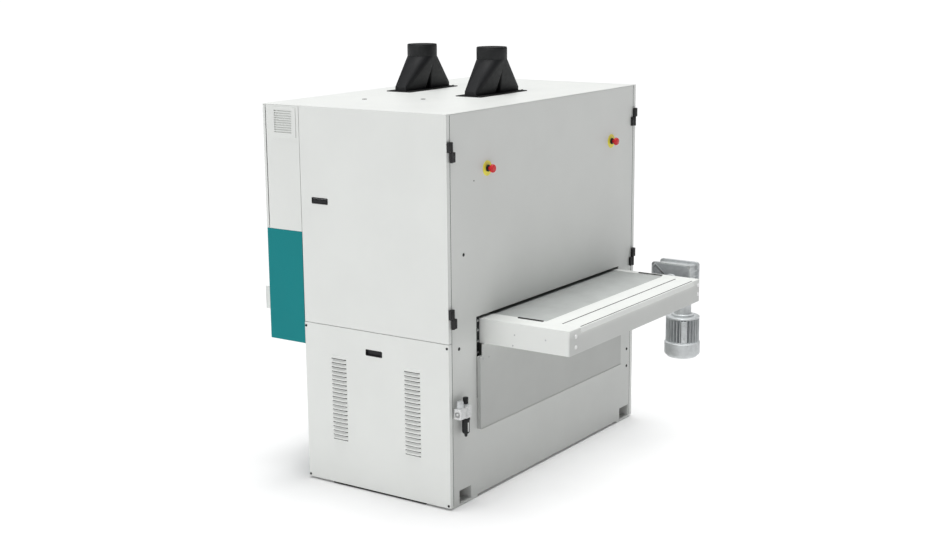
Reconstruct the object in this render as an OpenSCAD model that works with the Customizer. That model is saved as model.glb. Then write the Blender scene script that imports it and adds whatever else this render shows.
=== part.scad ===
/* [Overall] */
// Width over both side doors
body_w = 1824; // [1790:1:2300]
// Depth of the frame, outfeed face to infeed face
frame_d = 884; // [860:1:1100]
// Height of the body without the dust hoods
body_h = 1910; // [1860:1:2300]
// Depth of the control cabinet behind the infeed face
cabinet_d = 232; // [180:1:320]

/* [Sheet metal] */
// Folded depth of the doors and side panels
panel_t = 25; // [18:1:40]
// Sheet thickness of doors, panels and covers
skin = 2; // [1:0.5:4]
// Thickness of the two welded end plates
plate_t = 6; // [4:1:12]
// Seam between neighbouring panels
seam = 3; // [2:1:6]
// Gap between a side panel and the frame
side_gap = 2; // [1:1:4]
// Height of the seam between side door and base panel
seam_z = 826; // [780:1:880]

/* [Base] */
// Height of the base beams
base_h = 90; // [88:1:120]
// Clearance under the end plates between the feet
floor_gap = 13; // [5:1:25]
// Width of a forklift pocket
pocket_w = 100; // [80:1:110]
// Height of a forklift pocket
pocket_h = 66; // [50:1:70]
// Thickness of the foot plate under a pocket
foot_t = 12; // [8:1:14]
// Length of a foot along the side of the machine
foot_len = 150; // [110:1:200]
// Left pocket centre from the left side of the frame
pocket_left = 101; // [95:1:110]
// Right pocket centre from the right side of the frame
pocket_right = 63; // [60:1:70]
// Floor anchor distance from each side of the frame
anchor_side = 95; // [85:1:100]
// Floor anchor distance from each face of the frame
anchor_end = 42; // [30:1:120]
// Radius of a floor anchor hole
anchor_r = 9; // [6:0.5:11]
// Width and depth of a column
column_w = 120; // [90:1:130]
// Thickness of the inner side walls
wall_t = 15; // [10:1:20]

/* [Conveyor table] */
// Width of the table over its rails
table_w = 1372; // [1360:1:1400]
// Offset of the table centre to the right of the body centre
table_shift = 45; // [40:1:50]
// Overhang of the table beyond each face of the frame
table_over = 500; // [400:1:700]
// Height of the table top above the floor
table_z = 900; // [880:1:920]
// Height of the table rails
table_h = 122; // [110:1:135]
// Width of the left rail
left_rail_w = 116; // [100:1:130]
// Vertical travel of the table
lift_travel = 160; // [100:5:170]
// Width of the feed belt
feed_belt_w = 1212; // [1180:1:1214]
// Thickness of the feed belt
feed_belt_t = 1.7; // [1:0.1:3]
// Depth of the belt surface below the rails
belt_drop = 3; // [2:1:6]
// Radius of the feed rollers
feed_roller_r = 48; // [40:1:50]
// Distance of the feed roller axes from the frame face
feed_roller_out = 298; // [220:1:400]
// Wall of the feed rollers
feed_wall = 6; // [4:1:10]
// Radius of the feed roller journals
feed_journal_r = 20; // [15:1:25]
// Slot between table and left post
slot_left = 36; // [20:1:40]
// Slot between table and right post
slot_right = 8; // [5:1:20]
// Height of the upper edge of the work opening
open_top = 914; // [910:1:960]
// Height of the lower edge of the opening in the end plates
open_bottom = 500; // [480:1:510]
// Height of the apron that hides the opening
apron_h = 366; // [340:1:400]
// Drop of the apron below the table
apron_drop = 61; // [40:1:80]
// Height of the sloping lip at the table ends
lip_h = 22; // [12:1:40]
// How far the lip stands out at its foot
lip_out = 10; // [4:1:20]
// How far the apron stands proud of the end plate
apron_proud = 22; // [15:1:35]

/* [Sanding heads] */
// Width of the sanding belts
sanding_w = 1130; // [1000:1:1140]
// Developed length of the sanding belts
sanding_l = 1900; // [1800:10:2000]
// Thickness of a sanding belt
abrasive_t = 1.5; // [1:0.1:2]
// Radius of the contact drums and tension rollers
drum_r = 100; // [90:1:100]
// Wall of a contact drum with its rubber
drum_wall = 14; // [10:1:20]
// Wall of a tension roller
tension_wall = 10; // [6:1:16]
// Distance of each head from the middle of the frame
head_y = 230; // [225:1:240]
// Height of the sanding line over the table at rest
sanding_gap = 5; // [3:1:10]
// Radius of the drum journals
drum_journal_r = 30; // [22:1:35]
// Radius of the tension roller journals
tension_journal_r = 20; // [15:1:25]
// Radius of the drive pulleys
pulley_r = 70; // [60:1:70]
// Width of a drive pulley
pulley_w = 50; // [40:1:55]
// Radius of the pressure rollers
pressure_r = 40; // [30:1:40]
// Distance of the pressure rollers from the middle of the frame
pressure_y = 380; // [378:1:390]

/* [Drives] */
// Radius of a main motor
motor_r = 110; // [90:1:115]
// Length of a main motor
motor_l = 360; // [300:1:420]
// Height of the main motor axis
motor_z = 262; // [255:1:300]
// Distance of the main motors from the middle of the frame
motor_y = 170; // [150:1:180]
// Radius of the main motor shaft
motor_shaft_r = 19; // [14:1:24]
// Radius of the lifting screws
screw_r = 18; // [14:1:20]
// Height of the top of the lifting screws
screw_top = 600; // [560:1:610]
// Distance of the lifting screws from the table centre
screw_dx = 640; // [630:1:645]
// Distance of the lifting screws from the middle of the frame
screw_dy = 350; // [345:1:355]
// Radius of the chain sprockets
sprocket_r = 45; // [35:1:48]
// Radius of the finned body of the feed motor
feed_motor_r = 93; // [80:1:100]

/* [Dust hoods] */
// Length of the hood flange
hood_l = 446; // [420:1:500]
// Width of the hood flange
hood_w = 124; // [110:1:150]
// Outside radius of the hose neck
neck_r = 80; // [60:1:82]
// Wall thickness of a hood
hood_wall = 4; // [3:0.5:5]
// Height of the hose neck
neck_h = 62; // [60:1:120]
// Height of a hood over the roof
hood_h = 242; // [220:1:300]

/* [Doors and controls] */
// Length of a flush latch
latch_l = 98; // [80:1:120]
// Height of a flush latch
latch_h = 28; // [24:1:40]
// Height of the side door latches
latch_z = 1448; // [1300:1:1600]
// Length of a louvre in the side panels
louvre_l = 84; // [60:1:100]
// Height of one hinge
hinge_h = 96; // [60:1:120]
// Radius of the hinge knuckles
knuckle_r = 8.6; // [6:0.1:8.6]
// Radius of the hinge pins
pin_r = 5; // [3:0.5:6]
// Thickness of the cabinet doors
cab_door_t = 14; // [12:1:14]
// Radius of the yellow disc behind an emergency stop
estop_disc_r = 37; // [30:1:45]
// Radius of the emergency stop mushroom
mushroom_r = 20; // [15:1:25]
// Radius of the air regulator knob
knob_r = 13.5; // [11:0.5:18]
// Height of the two emergency stops on the outfeed face
estop_z = 1625; // [1500:1:1700]

/* [Hidden] */
$fn = 48;
fit = 0.05;       // radial clearance of a shaft in its bore
run = 0.3;        // clearance between parts that pass each other
half_w = body_w / 2;
half_d = frame_d / 2;
frame_x = half_w - panel_t - side_gap;
in_d = half_d - plate_t;
table_x0 = table_shift - table_w / 2;
table_x1 = table_shift + table_w / 2;
table_y = half_d + table_over;
table_z0 = table_z - table_h;
open_x0 = table_x0 - slot_left;
open_x1 = table_x1 + slot_right;
belt_x0 = table_x0 + left_rail_w + 1;
belt_x1 = belt_x0 + feed_belt_w;
belt_c = (belt_x0 + belt_x1) / 2;
feed_roller_y = half_d + feed_roller_out;
feed_roller_z = table_z - belt_drop - feed_belt_t - run - feed_roller_r;
disc_inset = 12;
wall_x0 = open_x0 - 28;
wall_x1 = open_x1 + 6;
wall_z0 = 880;
roof_t = 4;
roof_z = body_h - roof_t;
ring_h = 46;
ring_z = roof_z - ring_h;
door_z0 = seam_z + seam;
loop_r = drum_r + run + abrasive_t;
drum_z = table_z + sanding_gap + loop_r;
tension_z = drum_z + (sanding_l - 2 * PI * (drum_r + run)) / 2;
pressure_z = table_z + sanding_gap - 1 + pressure_r;
face_x0 = belt_c - sanding_w / 2 - 5;
face_x1 = belt_c + sanding_w / 2 + 5;
end_plate_t = 25;
head_x0 = face_x0 - 87;
head_x1 = face_x1 + 53;
pulley_x = wall_x0 - 120;
foot_skin = 4;
pocket_x0 = -frame_x + pocket_left;
pocket_x1 = frame_x - pocket_right;
cab_z0 = body_h - 626;  // underside of the cabinet
cab_y1 = half_d + cabinet_d;
cab_door_y = cab_y1 - 2 - cab_door_t;
cab_body_y = cab_door_y - 6;
cab_hinge_x = half_w - 10;
cab_hinge_y = cab_door_y + cab_door_t / 2;
louvres = 20;
louvre_y = [-224, 228];
louvre_z0 = 240;
louvre_pitch = 22;
louvre_h = 5;
pull_y = 6;
pull_z = seam_z - 120;
panel_screw_y = [-half_d + 10, half_d - 9];
panel_screw_z = [22, seam_z - 20];
hinge_x = frame_x + 1;
hinge_y = half_d + 9;
hinge_z = [897, 1686];
leaf_w = 28;       // fixed leaf of a hinge
latch_y = 321;
chain_t = 8;
sprocket_z = 108;
sprocket_t = 10;
sleeve_z0 = 500;
slot_w = 12;       // adjusting slots beside the belt
slot_y0 = feed_roller_y - 148;
slot_y1 = feed_roller_y - 8;
gear_x0 = table_x1 + 57;
gear_w = 115;
gear_l = 237;
gear_h = 215;
gear_x = gear_x0 + gear_w / 2;
worm_y = feed_roller_y + 51;
estop_x = 607;
open_c = (open_x0 + open_x1) / 2;
cheek_y1 = cab_y1 - 4;
cheek_z0 = 711;
cheek_gap = 23;
infeed_stop_z = 1150;
estop_y = [-half_d, -half_d, cheek_y1];
estop_px = [open_c - estop_x, open_c + estop_x, open_x1 + 98];
estop_pz = [estop_z, estop_z, infeed_stop_z];
switch_x = -456;
switch_z = 1500;
screen_lo = [270, 1420];
screen_hi = [590, 1660];
air_x = -frame_x + 20;
air_z = 452;
hood_pos = [[72, -44], [128, half_d + 2]];
duct_l = 360;
duct_w = 60;
roof_y1 = cab_door_y + cab_door_t;

// Box from its lowest to its highest corner
module block(lo, hi) {
    translate(lo) cube(hi - lo);
}

// Cylinder along X from x0 to x1
module bar_x(x0, x1, y, z, r) {
    translate([x0, y, z]) rotate([0, 90, 0]) cylinder(r = r, h = x1 - x0);
}

// Cylinder along Y from y0 to y1
module bar_y(y0, y1, x, z, r) {
    translate([x, y1, z]) rotate([90, 0, 0]) cylinder(r = r, h = y1 - y0);
}

// Cylinder along Z from z0 to z1
module bar_z(z0, z1, x, y, r) {
    translate([x, y, z0]) cylinder(r = r, h = z1 - z0);
}

// Folded sheet pan: a box open on the face named by its sign and axis
module pan_x(lo, hi, wall, open_side) {
    difference() {
        block(lo, hi);
        block([lo[0] + (open_side < 0 ? -1 : wall), lo[1] + wall, lo[2] + wall],
            [hi[0] + (open_side > 0 ? 1 : -wall), hi[1] - wall, hi[2] - wall]);
    }
}

module pan_y(lo, hi, wall, open_side) {
    difference() {
        block(lo, hi);
        block([lo[0] + wall, lo[1] + (open_side < 0 ? -1 : wall), lo[2] + wall],
            [hi[0] - wall, hi[1] + (open_side > 0 ? 1 : -wall), hi[2] - wall]);
    }
}

// Tube roller on a shaft, with a disc set into each end
module tube_roller(x0, x1, y, z, r, wall) {
    difference() {
        bar_x(x0, x1, y, z, r);
        bar_x(x0 - 1, x0 + disc_inset, y, z, r - wall);
        bar_x(x0 + 2 * disc_inset, x1 - 2 * disc_inset, y, z, r - wall);
        bar_x(x1 - disc_inset, x1 + 1, y, z, r - wall);
    }
}

// Closed loop of constant thickness round two equal wheels, along X
module belt_loop(x0, x1, y, z, span, r, t, lean = 0) {
    translate([x0, y, z]) rotate([lean, 0, 0]) rotate([90, 0, 90])
        linear_extrude(x1 - x0) difference() {
            union() {
                circle(r + t);
                translate([0, span]) circle(r + t);
                translate([-r - t, 0]) square([2 * (r + t), span]);
            }
            circle(r);
            translate([0, span]) circle(r);
            translate([-r, 0]) square([2 * r, span]);
        }
}

// Rounded rectangle outline
module round_rect(w, h, r) {
    translate([-w / 2 + r, -h / 2]) square([w - 2 * r, h]);
    translate([-w / 2, -h / 2 + r]) square([w, h - 2 * r]);
    for (x = [-1, 1], y = [-1, 1])
        translate([x * (w / 2 - r), y * (h / 2 - r)]) circle(r);
}

// ---------- frame ----------

module base_frame() color("silver") difference() {
    union() {
        block([-frame_x, -in_d, 0], [open_x0, in_d, base_h]);
        block([open_x1, -in_d, 0], [frame_x, in_d, base_h]);
        for (s = [-1, 1])
            block([open_x0, s > 0 ? in_d - 130 : -in_d, floor_gap],
                [open_x1, s > 0 ? in_d : 130 - in_d, base_h]);
        block([open_x0, 130 - in_d, base_h - 12], [open_x0 + 300, in_d - 130, base_h]);
    }
    for (x = [[-frame_x - 1, open_x0 + 1], [open_x1 - 1, frame_x + 1]])
        block([x[0], foot_len - half_d, -1], [x[1], half_d - foot_len, foot_t - foot_skin]);
    for (x = [pocket_x0, pocket_x1])
        block([x - pocket_w / 2, -half_d, foot_t], [x + pocket_w / 2, half_d, foot_t + pocket_h]);
    for (x = [-1, 1], y = [-1, 1])
        bar_z(-1, foot_t + 1, x * (frame_x - anchor_side), y * (half_d - anchor_end), anchor_r);
    for (x = [-1, 1], y = [-1, 1])
        bar_z(base_h - 20, base_h + 1, table_shift + x * screw_dx, y * screw_dy, screw_r - 3 + fit);
}

module column_frame() color("silver") difference() {
    union() {
        for (x = [-frame_x, frame_x - column_w], y = [-in_d, in_d - column_w])
            difference() {
                block([x, y, base_h], [x + column_w, y + column_w, ring_z]);
                block([x < 0 ? x - 1 : x + 6, y + 6, base_h + 6],
                    [x < 0 ? x + column_w - 6 : x + column_w + 1, y + column_w - 6, ring_z - 6]);
            }
        block([wall_x0, -in_d, wall_z0], [wall_x0 + wall_t, in_d, ring_z]);
        block([wall_x1, -in_d, wall_z0], [wall_x1 + wall_t, in_d, ring_z]);
        difference() {
            block([-frame_x, -in_d, ring_z], [frame_x, in_d, roof_z]);
            block([-frame_x + 60, 60 - in_d, ring_z - 1], [frame_x - 60, in_d - 60, roof_z + 1]);
        }
    }
    for (s = [-1, 1]) {
        bar_x(wall_x0 - 1, wall_x0 + wall_t + 1, s * head_y, drum_z, drum_journal_r + 15);
        bar_x(wall_x0 - 1, wall_x0 + wall_t + 1, s * pressure_y, pressure_z, 15 + fit);
        bar_x(wall_x1 - 1, wall_x1 + wall_t + 1, s * pressure_y, pressure_z, 15 + fit);
    }
}

// Welded end plate with the work opening, the pocket mouths and the gap between the feet
module end_plate(y0) {
    difference() {
        block([-frame_x, y0, 0], [frame_x, y0 + plate_t, roof_z]);
        block([open_x0, y0 - 1, open_bottom], [open_x1, y0 + plate_t + 1, open_top]);
        block([open_x0, y0 - 1, -1], [open_x1, y0 + plate_t + 1, floor_gap]);
        for (x = [pocket_x0, pocket_x1])
            block([x - pocket_w / 2, y0 - 1, foot_t],
                [x + pocket_w / 2, y0 + plate_t + 1, foot_t + pocket_h]);
    }
}

module outfeed_plate() color("lightgray") end_plate(-half_d);

module infeed_plate() color("lightgray") end_plate(in_d);

module roof_panel() color("white") difference() {
    union() {
        block([-frame_x, -half_d, roof_z], [frame_x, half_d, body_h]);
        block([-half_w, half_d, roof_z], [half_w, roof_y1, body_h]);
    }
    for (p = hood_pos)
        block([p[0] - duct_l / 2, p[1] - duct_w / 2, roof_z - 1],
            [p[0] + duct_l / 2, p[1] + duct_w / 2, body_h + 1]);
}

// Screwed side panel with two columns of louvres and a flush pull
module base_panel(s) {
    x0 = s < 0 ? -half_w : frame_x + side_gap;
    difference() {
        pan_x([x0, -half_d, 10], [x0 + panel_t, half_d - 1, seam_z - seam / 2], skin, -s);
        for (y = louvre_y, k = [0:louvres - 1])
            block([s < 0 ? x0 - 1 : x0 + panel_t - skin - 1, y - louvre_l / 2,
                louvre_z0 + louvre_pitch * k],
                [s < 0 ? x0 + skin + 1 : x0 + panel_t + 1, y + louvre_l / 2,
                louvre_z0 + louvre_pitch * k + louvre_h]);
        block([s < 0 ? x0 - 1 : x0 + panel_t - skin - 1, pull_y - latch_l / 2, pull_z],
            [s < 0 ? x0 + skin + 1 : x0 + panel_t + 1, pull_y + latch_l / 2, pull_z + latch_h]);
    }
    for (y = panel_screw_y, z = panel_screw_z)
        bar_x(s < 0 ? x0 + skin : frame_x, s < 0 ? -frame_x : x0 + panel_t - skin, y, z, 8 - fit);
}

module left_base_panel() color("whitesmoke") base_panel(-1);

module right_base_panel() color("whitesmoke") base_panel(1);

module panel_screws() color("dimgray")
    for (s = [-1, 1], y = panel_screw_y, z = panel_screw_z)
        bar_x(s < 0 ? -half_w - 3 : half_w, s < 0 ? -half_w : half_w + 3, y, z, 6);

module door_shell(s) {
    x0 = s < 0 ? -half_w : frame_x + side_gap;
    cup_x0 = s < 0 ? x0 + skin : x0 + panel_t - skin - 14;
    difference() {
        union() {
            pan_x([x0, -half_d, door_z0 - seam / 2], [x0 + panel_t, half_d - seam, body_h],
                skin, -s);
            block([cup_x0, latch_y - latch_l / 2 - 3, latch_z - latch_h / 2 - 3],
                [cup_x0 + 14, latch_y + latch_l / 2 + 3, latch_z + latch_h / 2 + 3]);
        }
        block([s < 0 ? x0 - 1 : cup_x0 + 3, latch_y - latch_l / 2, latch_z - latch_h / 2],
            [s < 0 ? cup_x0 + 11 : x0 + panel_t + 1, latch_y + latch_l / 2, latch_z + latch_h / 2]);
        bar_y(latch_y - latch_l / 2 - 2.5, latch_y + latch_l / 2 + 2.5,
            s * (half_w - 8), latch_z + latch_h / 2 - 6, 3 + fit);
    }
}

module left_door() color("whitesmoke") door_shell(-1);

module right_door() color("whitesmoke") door_shell(1);

// Flush latch paddle with its pin along the top edge
module latch(s) {
    bar_y(latch_y - latch_l / 2 - 2, latch_y + latch_l / 2 + 2,
        s * (half_w - 8), latch_z + latch_h / 2 - 6, 3);
    block([s < 0 ? -half_w : half_w - 9, latch_y - latch_l / 2 + 2, latch_z - latch_h / 2 + 2],
        [s < 0 ? -half_w + 9 : half_w, latch_y + latch_l / 2 - 2, latch_z + latch_h / 2 - 6]);
}

module left_door_latch() color("black") latch(-1);

module right_door_latch() color("black") latch(1);

// Fixed lower halves of the four door hinges, each with its pin
module hinge_leaves() color("black")
    for (s = [-1, 1], z = hinge_z) {
        bar_z(z, z + hinge_h / 2 - 0.5, s * hinge_x, -hinge_y, knuckle_r);
        bar_z(z + hinge_h / 2 - 0.5, z + hinge_h - 4, s * hinge_x, -hinge_y, pin_r);
        block([s < 0 ? -hinge_x : hinge_x - leaf_w, -hinge_y - 4, z + 1],
            [s < 0 ? leaf_w - hinge_x : hinge_x, -half_d, z + hinge_h / 2 - 1.5]);
    }

// Upper halves of one door's hinges
module door_hinges(s) {
    for (z = hinge_z)
        difference() {
            union() {
                bar_z(z + hinge_h / 2, z + hinge_h, s * hinge_x, -hinge_y, knuckle_r);
                block([s < 0 ? -half_w + 1 : hinge_x, -hinge_y - 4, z + hinge_h / 2 + 1],
                    [s < 0 ? -hinge_x : half_w - 1, -half_d, z + hinge_h - 1]);
            }
            bar_z(z + hinge_h / 2 - 1, z + hinge_h - 3, s * hinge_x, -hinge_y, pin_r + fit);
        }
}

module left_door_hinges() color("black") door_hinges(-1);

module right_door_hinges() color("black") door_hinges(1);

// ---------- dust hoods ----------

// One lobe of a hood: half of the round neck above, half of the long base below
module hood_lobe(s, t, z0, z1) {
    hull() {
        translate([0, 0, z1]) linear_extrude(0.1) intersection() {
            circle(r = neck_r - 3 - t, $fn = 32);
            translate([s > 0 ? -14 : -neck_r, -neck_r]) square([neck_r + 14, 2 * neck_r]);
        }
        translate([s > 0 ? 22 + t : -203 + t, -37 + t, z0 + 20])
            cube([181 - 2 * t, 74 - 2 * t, 0.1]);
        translate([s > 0 ? 22 + t : -203 + t, -37 + t, z0])
            cube([181 - 2 * t, 74 - 2 * t, 0.1]);
    }
}

module dust_hood(p) {
    body_z1 = hood_h - neck_h;
    translate([p[0], p[1], body_h]) difference() {
        union() {
            block([-hood_l / 2, -hood_w / 2, 0], [hood_l / 2, hood_w / 2, 4]);
            for (s = [-1, 1])
                hood_lobe(s, 0, 4, body_z1);
            block([-30, -22, 4], [30, 22, body_z1]);
            bar_z(body_z1, hood_h, 0, 0, neck_r);
        }
        for (s = [-1, 1])
            hood_lobe(s, hood_wall, -1, body_z1);
        block([-31, -22 + hood_wall, -1], [31, 22 - hood_wall, body_z1]);
        bar_z(body_z1 - 2, hood_h + 1, 0, 0, neck_r - hood_wall);
    }
}

module outfeed_dust_hood() color("black") dust_hood(hood_pos[0]);

module infeed_dust_hood() color("black") dust_hood(hood_pos[1]);

// ---------- infeed side ----------

module control_cabinet() color("whitesmoke") {
    duct_x = hood_pos[1][0];
    difference() {
        block([-half_w, half_d, cab_z0], [half_w, cab_body_y, roof_z]);
        block([-half_w + skin, half_d + skin, cab_z0 + skin],
            [half_w - skin, cab_body_y + 1, roof_z - skin]);
        for (s = [-1, 1])
            block([s < 0 ? -half_w - 1 : half_w - skin - 1, half_d + 38, body_h - 144],
                [s < 0 ? -half_w + skin + 1 : half_w + 1, half_d + 158, body_h - 22]);
        block([duct_x - duct_l / 2, half_d - 1, roof_z - 100],
            [duct_x + duct_l / 2, half_d + 2 + duct_w / 2, roof_z + 1]);
    }
    block([-half_w, cab_body_y, cab_z0], [half_w, roof_y1, cab_z0 + skin]);
    block([-half_w, cab_body_y, roof_z - skin], [half_w, roof_y1, roof_z]);
    for (s = [-1, 1]) {
        bar_z(cab_z0 + skin, cab_z0 + 12, s * cab_hinge_x, cab_hinge_y, 4);
        bar_z(roof_z - 12, roof_z - skin, s * cab_hinge_x, cab_hinge_y, 4);
    }
}

module side_vents() color("white")
    for (s = [-1, 1])
        difference() {
            union() {
                block([s < 0 ? -half_w - 5 : half_w, half_d + 17, body_h - 160],
                    [s < 0 ? -half_w : half_w + 5, half_d + 171, body_h - 14]);
                block([s < 0 ? -half_w : half_w - 12, half_d + 40, body_h - 142],
                    [s < 0 ? -half_w + 12 : half_w, half_d + 156, body_h - 24]);
            }
            for (k = [0:9])
                block([s < 0 ? -half_w - 6 : half_w - 13, half_d + 42, body_h - 139 + 11.6 * k],
                    [s < 0 ? -half_w + 13 : half_w + 6, half_d + 154, body_h - 133 + 11.6 * k]);
        }

module cabinet_door(s) {
    x0 = s < 0 ? -half_w + 1 : 1.5;
    x1 = s < 0 ? -1.5 : half_w - 1;
    y1 = cab_door_y + cab_door_t;
    z0 = cab_z0 + skin + 1;
    z1 = roof_z - skin - 1;
    hx = s * cab_hinge_x;
    difference() {
        union() {
            pan_y([x0, cab_door_y, z0], [x1, y1, z1], skin, -1);
            for (z = [z0, z1 - 20])
                block([s < 0 ? x0 : x1 - 22, cab_door_y, z], [s < 0 ? x0 + 22 : x1, y1, z + 20]);
        }
        bar_z(z0 - 1, z0 + 12, hx, cab_hinge_y, 4 + fit);
        bar_z(z1 - 12, z1 + 1, hx, cab_hinge_y, 4 + fit);
        if (s < 0)
            bar_y(cab_door_y - 1, y1 + 1, switch_x, switch_z, 6 + fit);
    }
}

module left_cabinet_door() color("whitesmoke") cabinet_door(-1);

module right_cabinet_door() color("whitesmoke") cabinet_door(1);

module operator_screen() color("dimgray")
    difference() {
        block([screen_lo[0], cab_y1 - 2, screen_lo[1]], [screen_hi[0], cab_y1 + 34, screen_hi[1]]);
        block([screen_lo[0] + 20, cab_y1 + 31, screen_lo[1] + 25],
            [screen_hi[0] - 20, cab_y1 + 35, screen_hi[1] - 20]);
    }

module main_switch() color("red") {
    bar_y(cab_door_y + skin + 1, cab_y1 + 4, switch_x, switch_z, 6);
    bar_y(cab_y1 + 1, cab_y1 + 9, switch_x, switch_z, 24);
    block([switch_x - 6, cab_y1 + 9, switch_z - 22], [switch_x + 6, cab_y1 + 27, switch_z + 22]);
}

module side_cheeks() color("teal")
    for (s = [-1, 1])
        difference() {
            block([s < 0 ? -half_w : open_x1 + cheek_gap, half_d, cheek_z0],
                [s < 0 ? open_x0 - cheek_gap : half_w, cheek_y1, cab_z0]);
            block([s < 0 ? -half_w + skin : open_x1 + cheek_gap + skin, half_d - 1, cheek_z0 + skin],
                [s < 0 ? open_x0 - cheek_gap - skin : half_w - skin, cheek_y1 - skin, cab_z0 - skin]);
            if (s > 0)
                bar_y(cheek_y1 - 6, cheek_y1 + 1, estop_px[2], infeed_stop_z, 8 + fit);
        }

// ---------- controls ----------

module estop_discs() color("gold")
    for (k = [0:2]) {
        d = k < 2 ? -1 : 1;
        y = estop_y[k];
        difference() {
            union() {
                bar_y(d < 0 ? y - 3 : y, d < 0 ? y : y + 3, estop_px[k], estop_pz[k], estop_disc_r);
                bar_y(d < 0 ? y - 18 : y, d < 0 ? y : y + 18, estop_px[k], estop_pz[k], 15);
            }
            bar_y(y - 20, y + 20, estop_px[k], estop_pz[k], 8 + fit);
        }
    }

module estop(k) {
    d = k < 2 ? -1 : 1;
    y = estop_y[k];
    bar_y(d < 0 ? y - 26 : y + 7, d < 0 ? y - 7 : y + 26, estop_px[k], estop_pz[k], 8);
    bar_y(d < 0 ? y - 42 : y + 24, d < 0 ? y - 24 : y + 42, estop_px[k], estop_pz[k], mushroom_r);
}

module outfeed_left_estop() color("red") estop(0);

module outfeed_right_estop() color("red") estop(1);

module infeed_estop() color("red") estop(2);

module air_unit() color("silver") {
    y0 = -half_d - 50;
    difference() {
        union() {
            block([air_x - 23, y0, air_z], [air_x + 70, y0 + 42, air_z + 58]);
            block([air_x - 10, y0 + 42, air_z + 10], [air_x + 60, -half_d, air_z + 48]);
            bar_z(air_z + 58, air_z + 91, air_x, y0 + 21, 17);
            bar_z(air_z - 80, air_z, air_x + 47, y0 + 21, 20);
            bar_z(air_z - 97, air_z - 80, air_x + 47, y0 + 21, 8);
            bar_z(air_z + 58, air_z + 68, air_x + 47, y0 + 21, 14);
            bar_z(air_z + 68, air_z + 90, air_x + 47, y0 + 21, 8);
        }
        bar_x(air_x - 24, air_x - 9, y0 + 21, air_z + 29, 9);
    }
}

module air_regulator_knob() color("black")
    difference() {
        bar_z(air_z + 68.5, air_z + 101, air_x + 47, -half_d - 29, knob_r);
        bar_z(air_z + 67, air_z + 91, air_x + 47, -half_d - 29, 8 + fit);
    }

// ---------- conveyor table ----------

// Closed box rail, bored through its inner wall for the roller journals
module table_rail(x0, x1, bore_x0, bore_x1, slot_x) {
    difference() {
        block([x0, 6 - table_y, table_z0], [x1, table_y - 6, table_z]);
        block([x0 + 4, 10 - table_y, table_z0 + 4], [x1 - 4, table_y - 10, table_z - 4]);
        for (s = [-1, 1])
            bar_x(bore_x0, bore_x1, s * feed_roller_y, feed_roller_z, feed_journal_r + fit);
        for (s = [-1, 1])
            block([slot_x, s > 0 ? slot_y0 : -slot_y1, table_z - 5],
                [slot_x + slot_w, s > 0 ? slot_y1 : -slot_y0, table_z + 1]);
    }
}

module table_frame() color("whitesmoke") {
    bed_top = feed_roller_z + feed_roller_r + 0.1;
    bed_y = feed_roller_y - feed_roller_r - 12;
    table_rail(table_x0, belt_x0 - 1, table_x0 + 10, belt_x0, belt_x0 - 6 - slot_w);
    difference() {
        table_rail(belt_x1 + 1, table_x1, belt_x1, table_x1 - 10, belt_x1 + 6);
        bar_x(table_x1 - 10, table_x1 + 1, -feed_roller_y, feed_roller_z, feed_journal_r + fit);
    }
    block([belt_x0 - 1, -bed_y, bed_top - 12], [belt_x1 + 1, bed_y, bed_top]);
    for (y = [-500, 0, 500])
        block([belt_x0 - 1, y - 20, feed_roller_z - 30], [belt_x1 + 1, y + 20, bed_top - 12]);
    for (y = [-screw_dy, screw_dy]) {
        block([belt_x0 - 1, y - 60, table_z0], [belt_x1 + 1, y + 60, table_z0 + 10]);
        for (x = [table_shift - screw_dx, table_shift + screw_dx])
            difference() {
                bar_z(sleeve_z0, table_z0, x, y, screw_r + 17);
                bar_z(sleeve_z0 - 1, sleeve_z0 + 60, x, y, screw_r + fit);
                bar_z(sleeve_z0 + 60, table_z0 + 1, x, y, screw_r + 4);
            }
    }
}

// Sheet covers at both table ends with a window for the flat nose plate
module end_covers() color("whitesmoke")
    for (s = [-1, 1])
        mirror([0, s > 0 ? 1 : 0, 0]) {
            difference() {
                block([belt_x0 - 1, 6 - table_y, table_z - 2], [belt_x1 + 1, -feed_roller_y - 2, table_z]);
                block([belt_x0 - 10, 9 - table_y, table_z - 3],
                    [belt_x1 - 25, -feed_roller_y - 92, table_z + 1]);
            }
            block([table_x0, -table_y, table_z0], [table_x1, 6 - table_y, table_z]);
        }

module nose_plates() color("white")
    for (s = [-1, 1])
        mirror([0, s > 0 ? 1 : 0, 0]) {
            block([belt_x0 - 1, 12 - table_y, table_z - 4],
                [belt_x1 - 28, -feed_roller_y - 97, table_z + 0.5]);
            block([belt_x0 - 1, 6 - table_y, table_z - 12], [belt_x1 - 28, 20 - table_y, table_z - 4]);
            translate([belt_x0 - 22, -table_y, table_z]) rotate([90, 0, 90])
                linear_extrude(belt_x1 - belt_x0 - 16)
                    polygon([[0, -lip_h], [-lip_out, -lip_h], [-lip_out, -lip_h + 2], [-1, 0], [0, 0]]);
        }

module table_aprons() color("gainsboro")
    for (s = [-1, 1])
        mirror([0, s > 0 ? 1 : 0, 0]) {
            y0 = -half_d - apron_proud;
            z1 = table_z0 - apron_drop;
            pan_y([open_x0, y0, z1 - apron_h], [open_x1, -half_d - 0.5, z1], 3, 1);
            block([table_x0, y0, z1 - 3], [table_x1, y0 + 3, table_z0]);
            block([table_x0, y0 + 3, table_z0 - 3], [table_x1, y0 + 23, table_z0]);
        }

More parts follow.
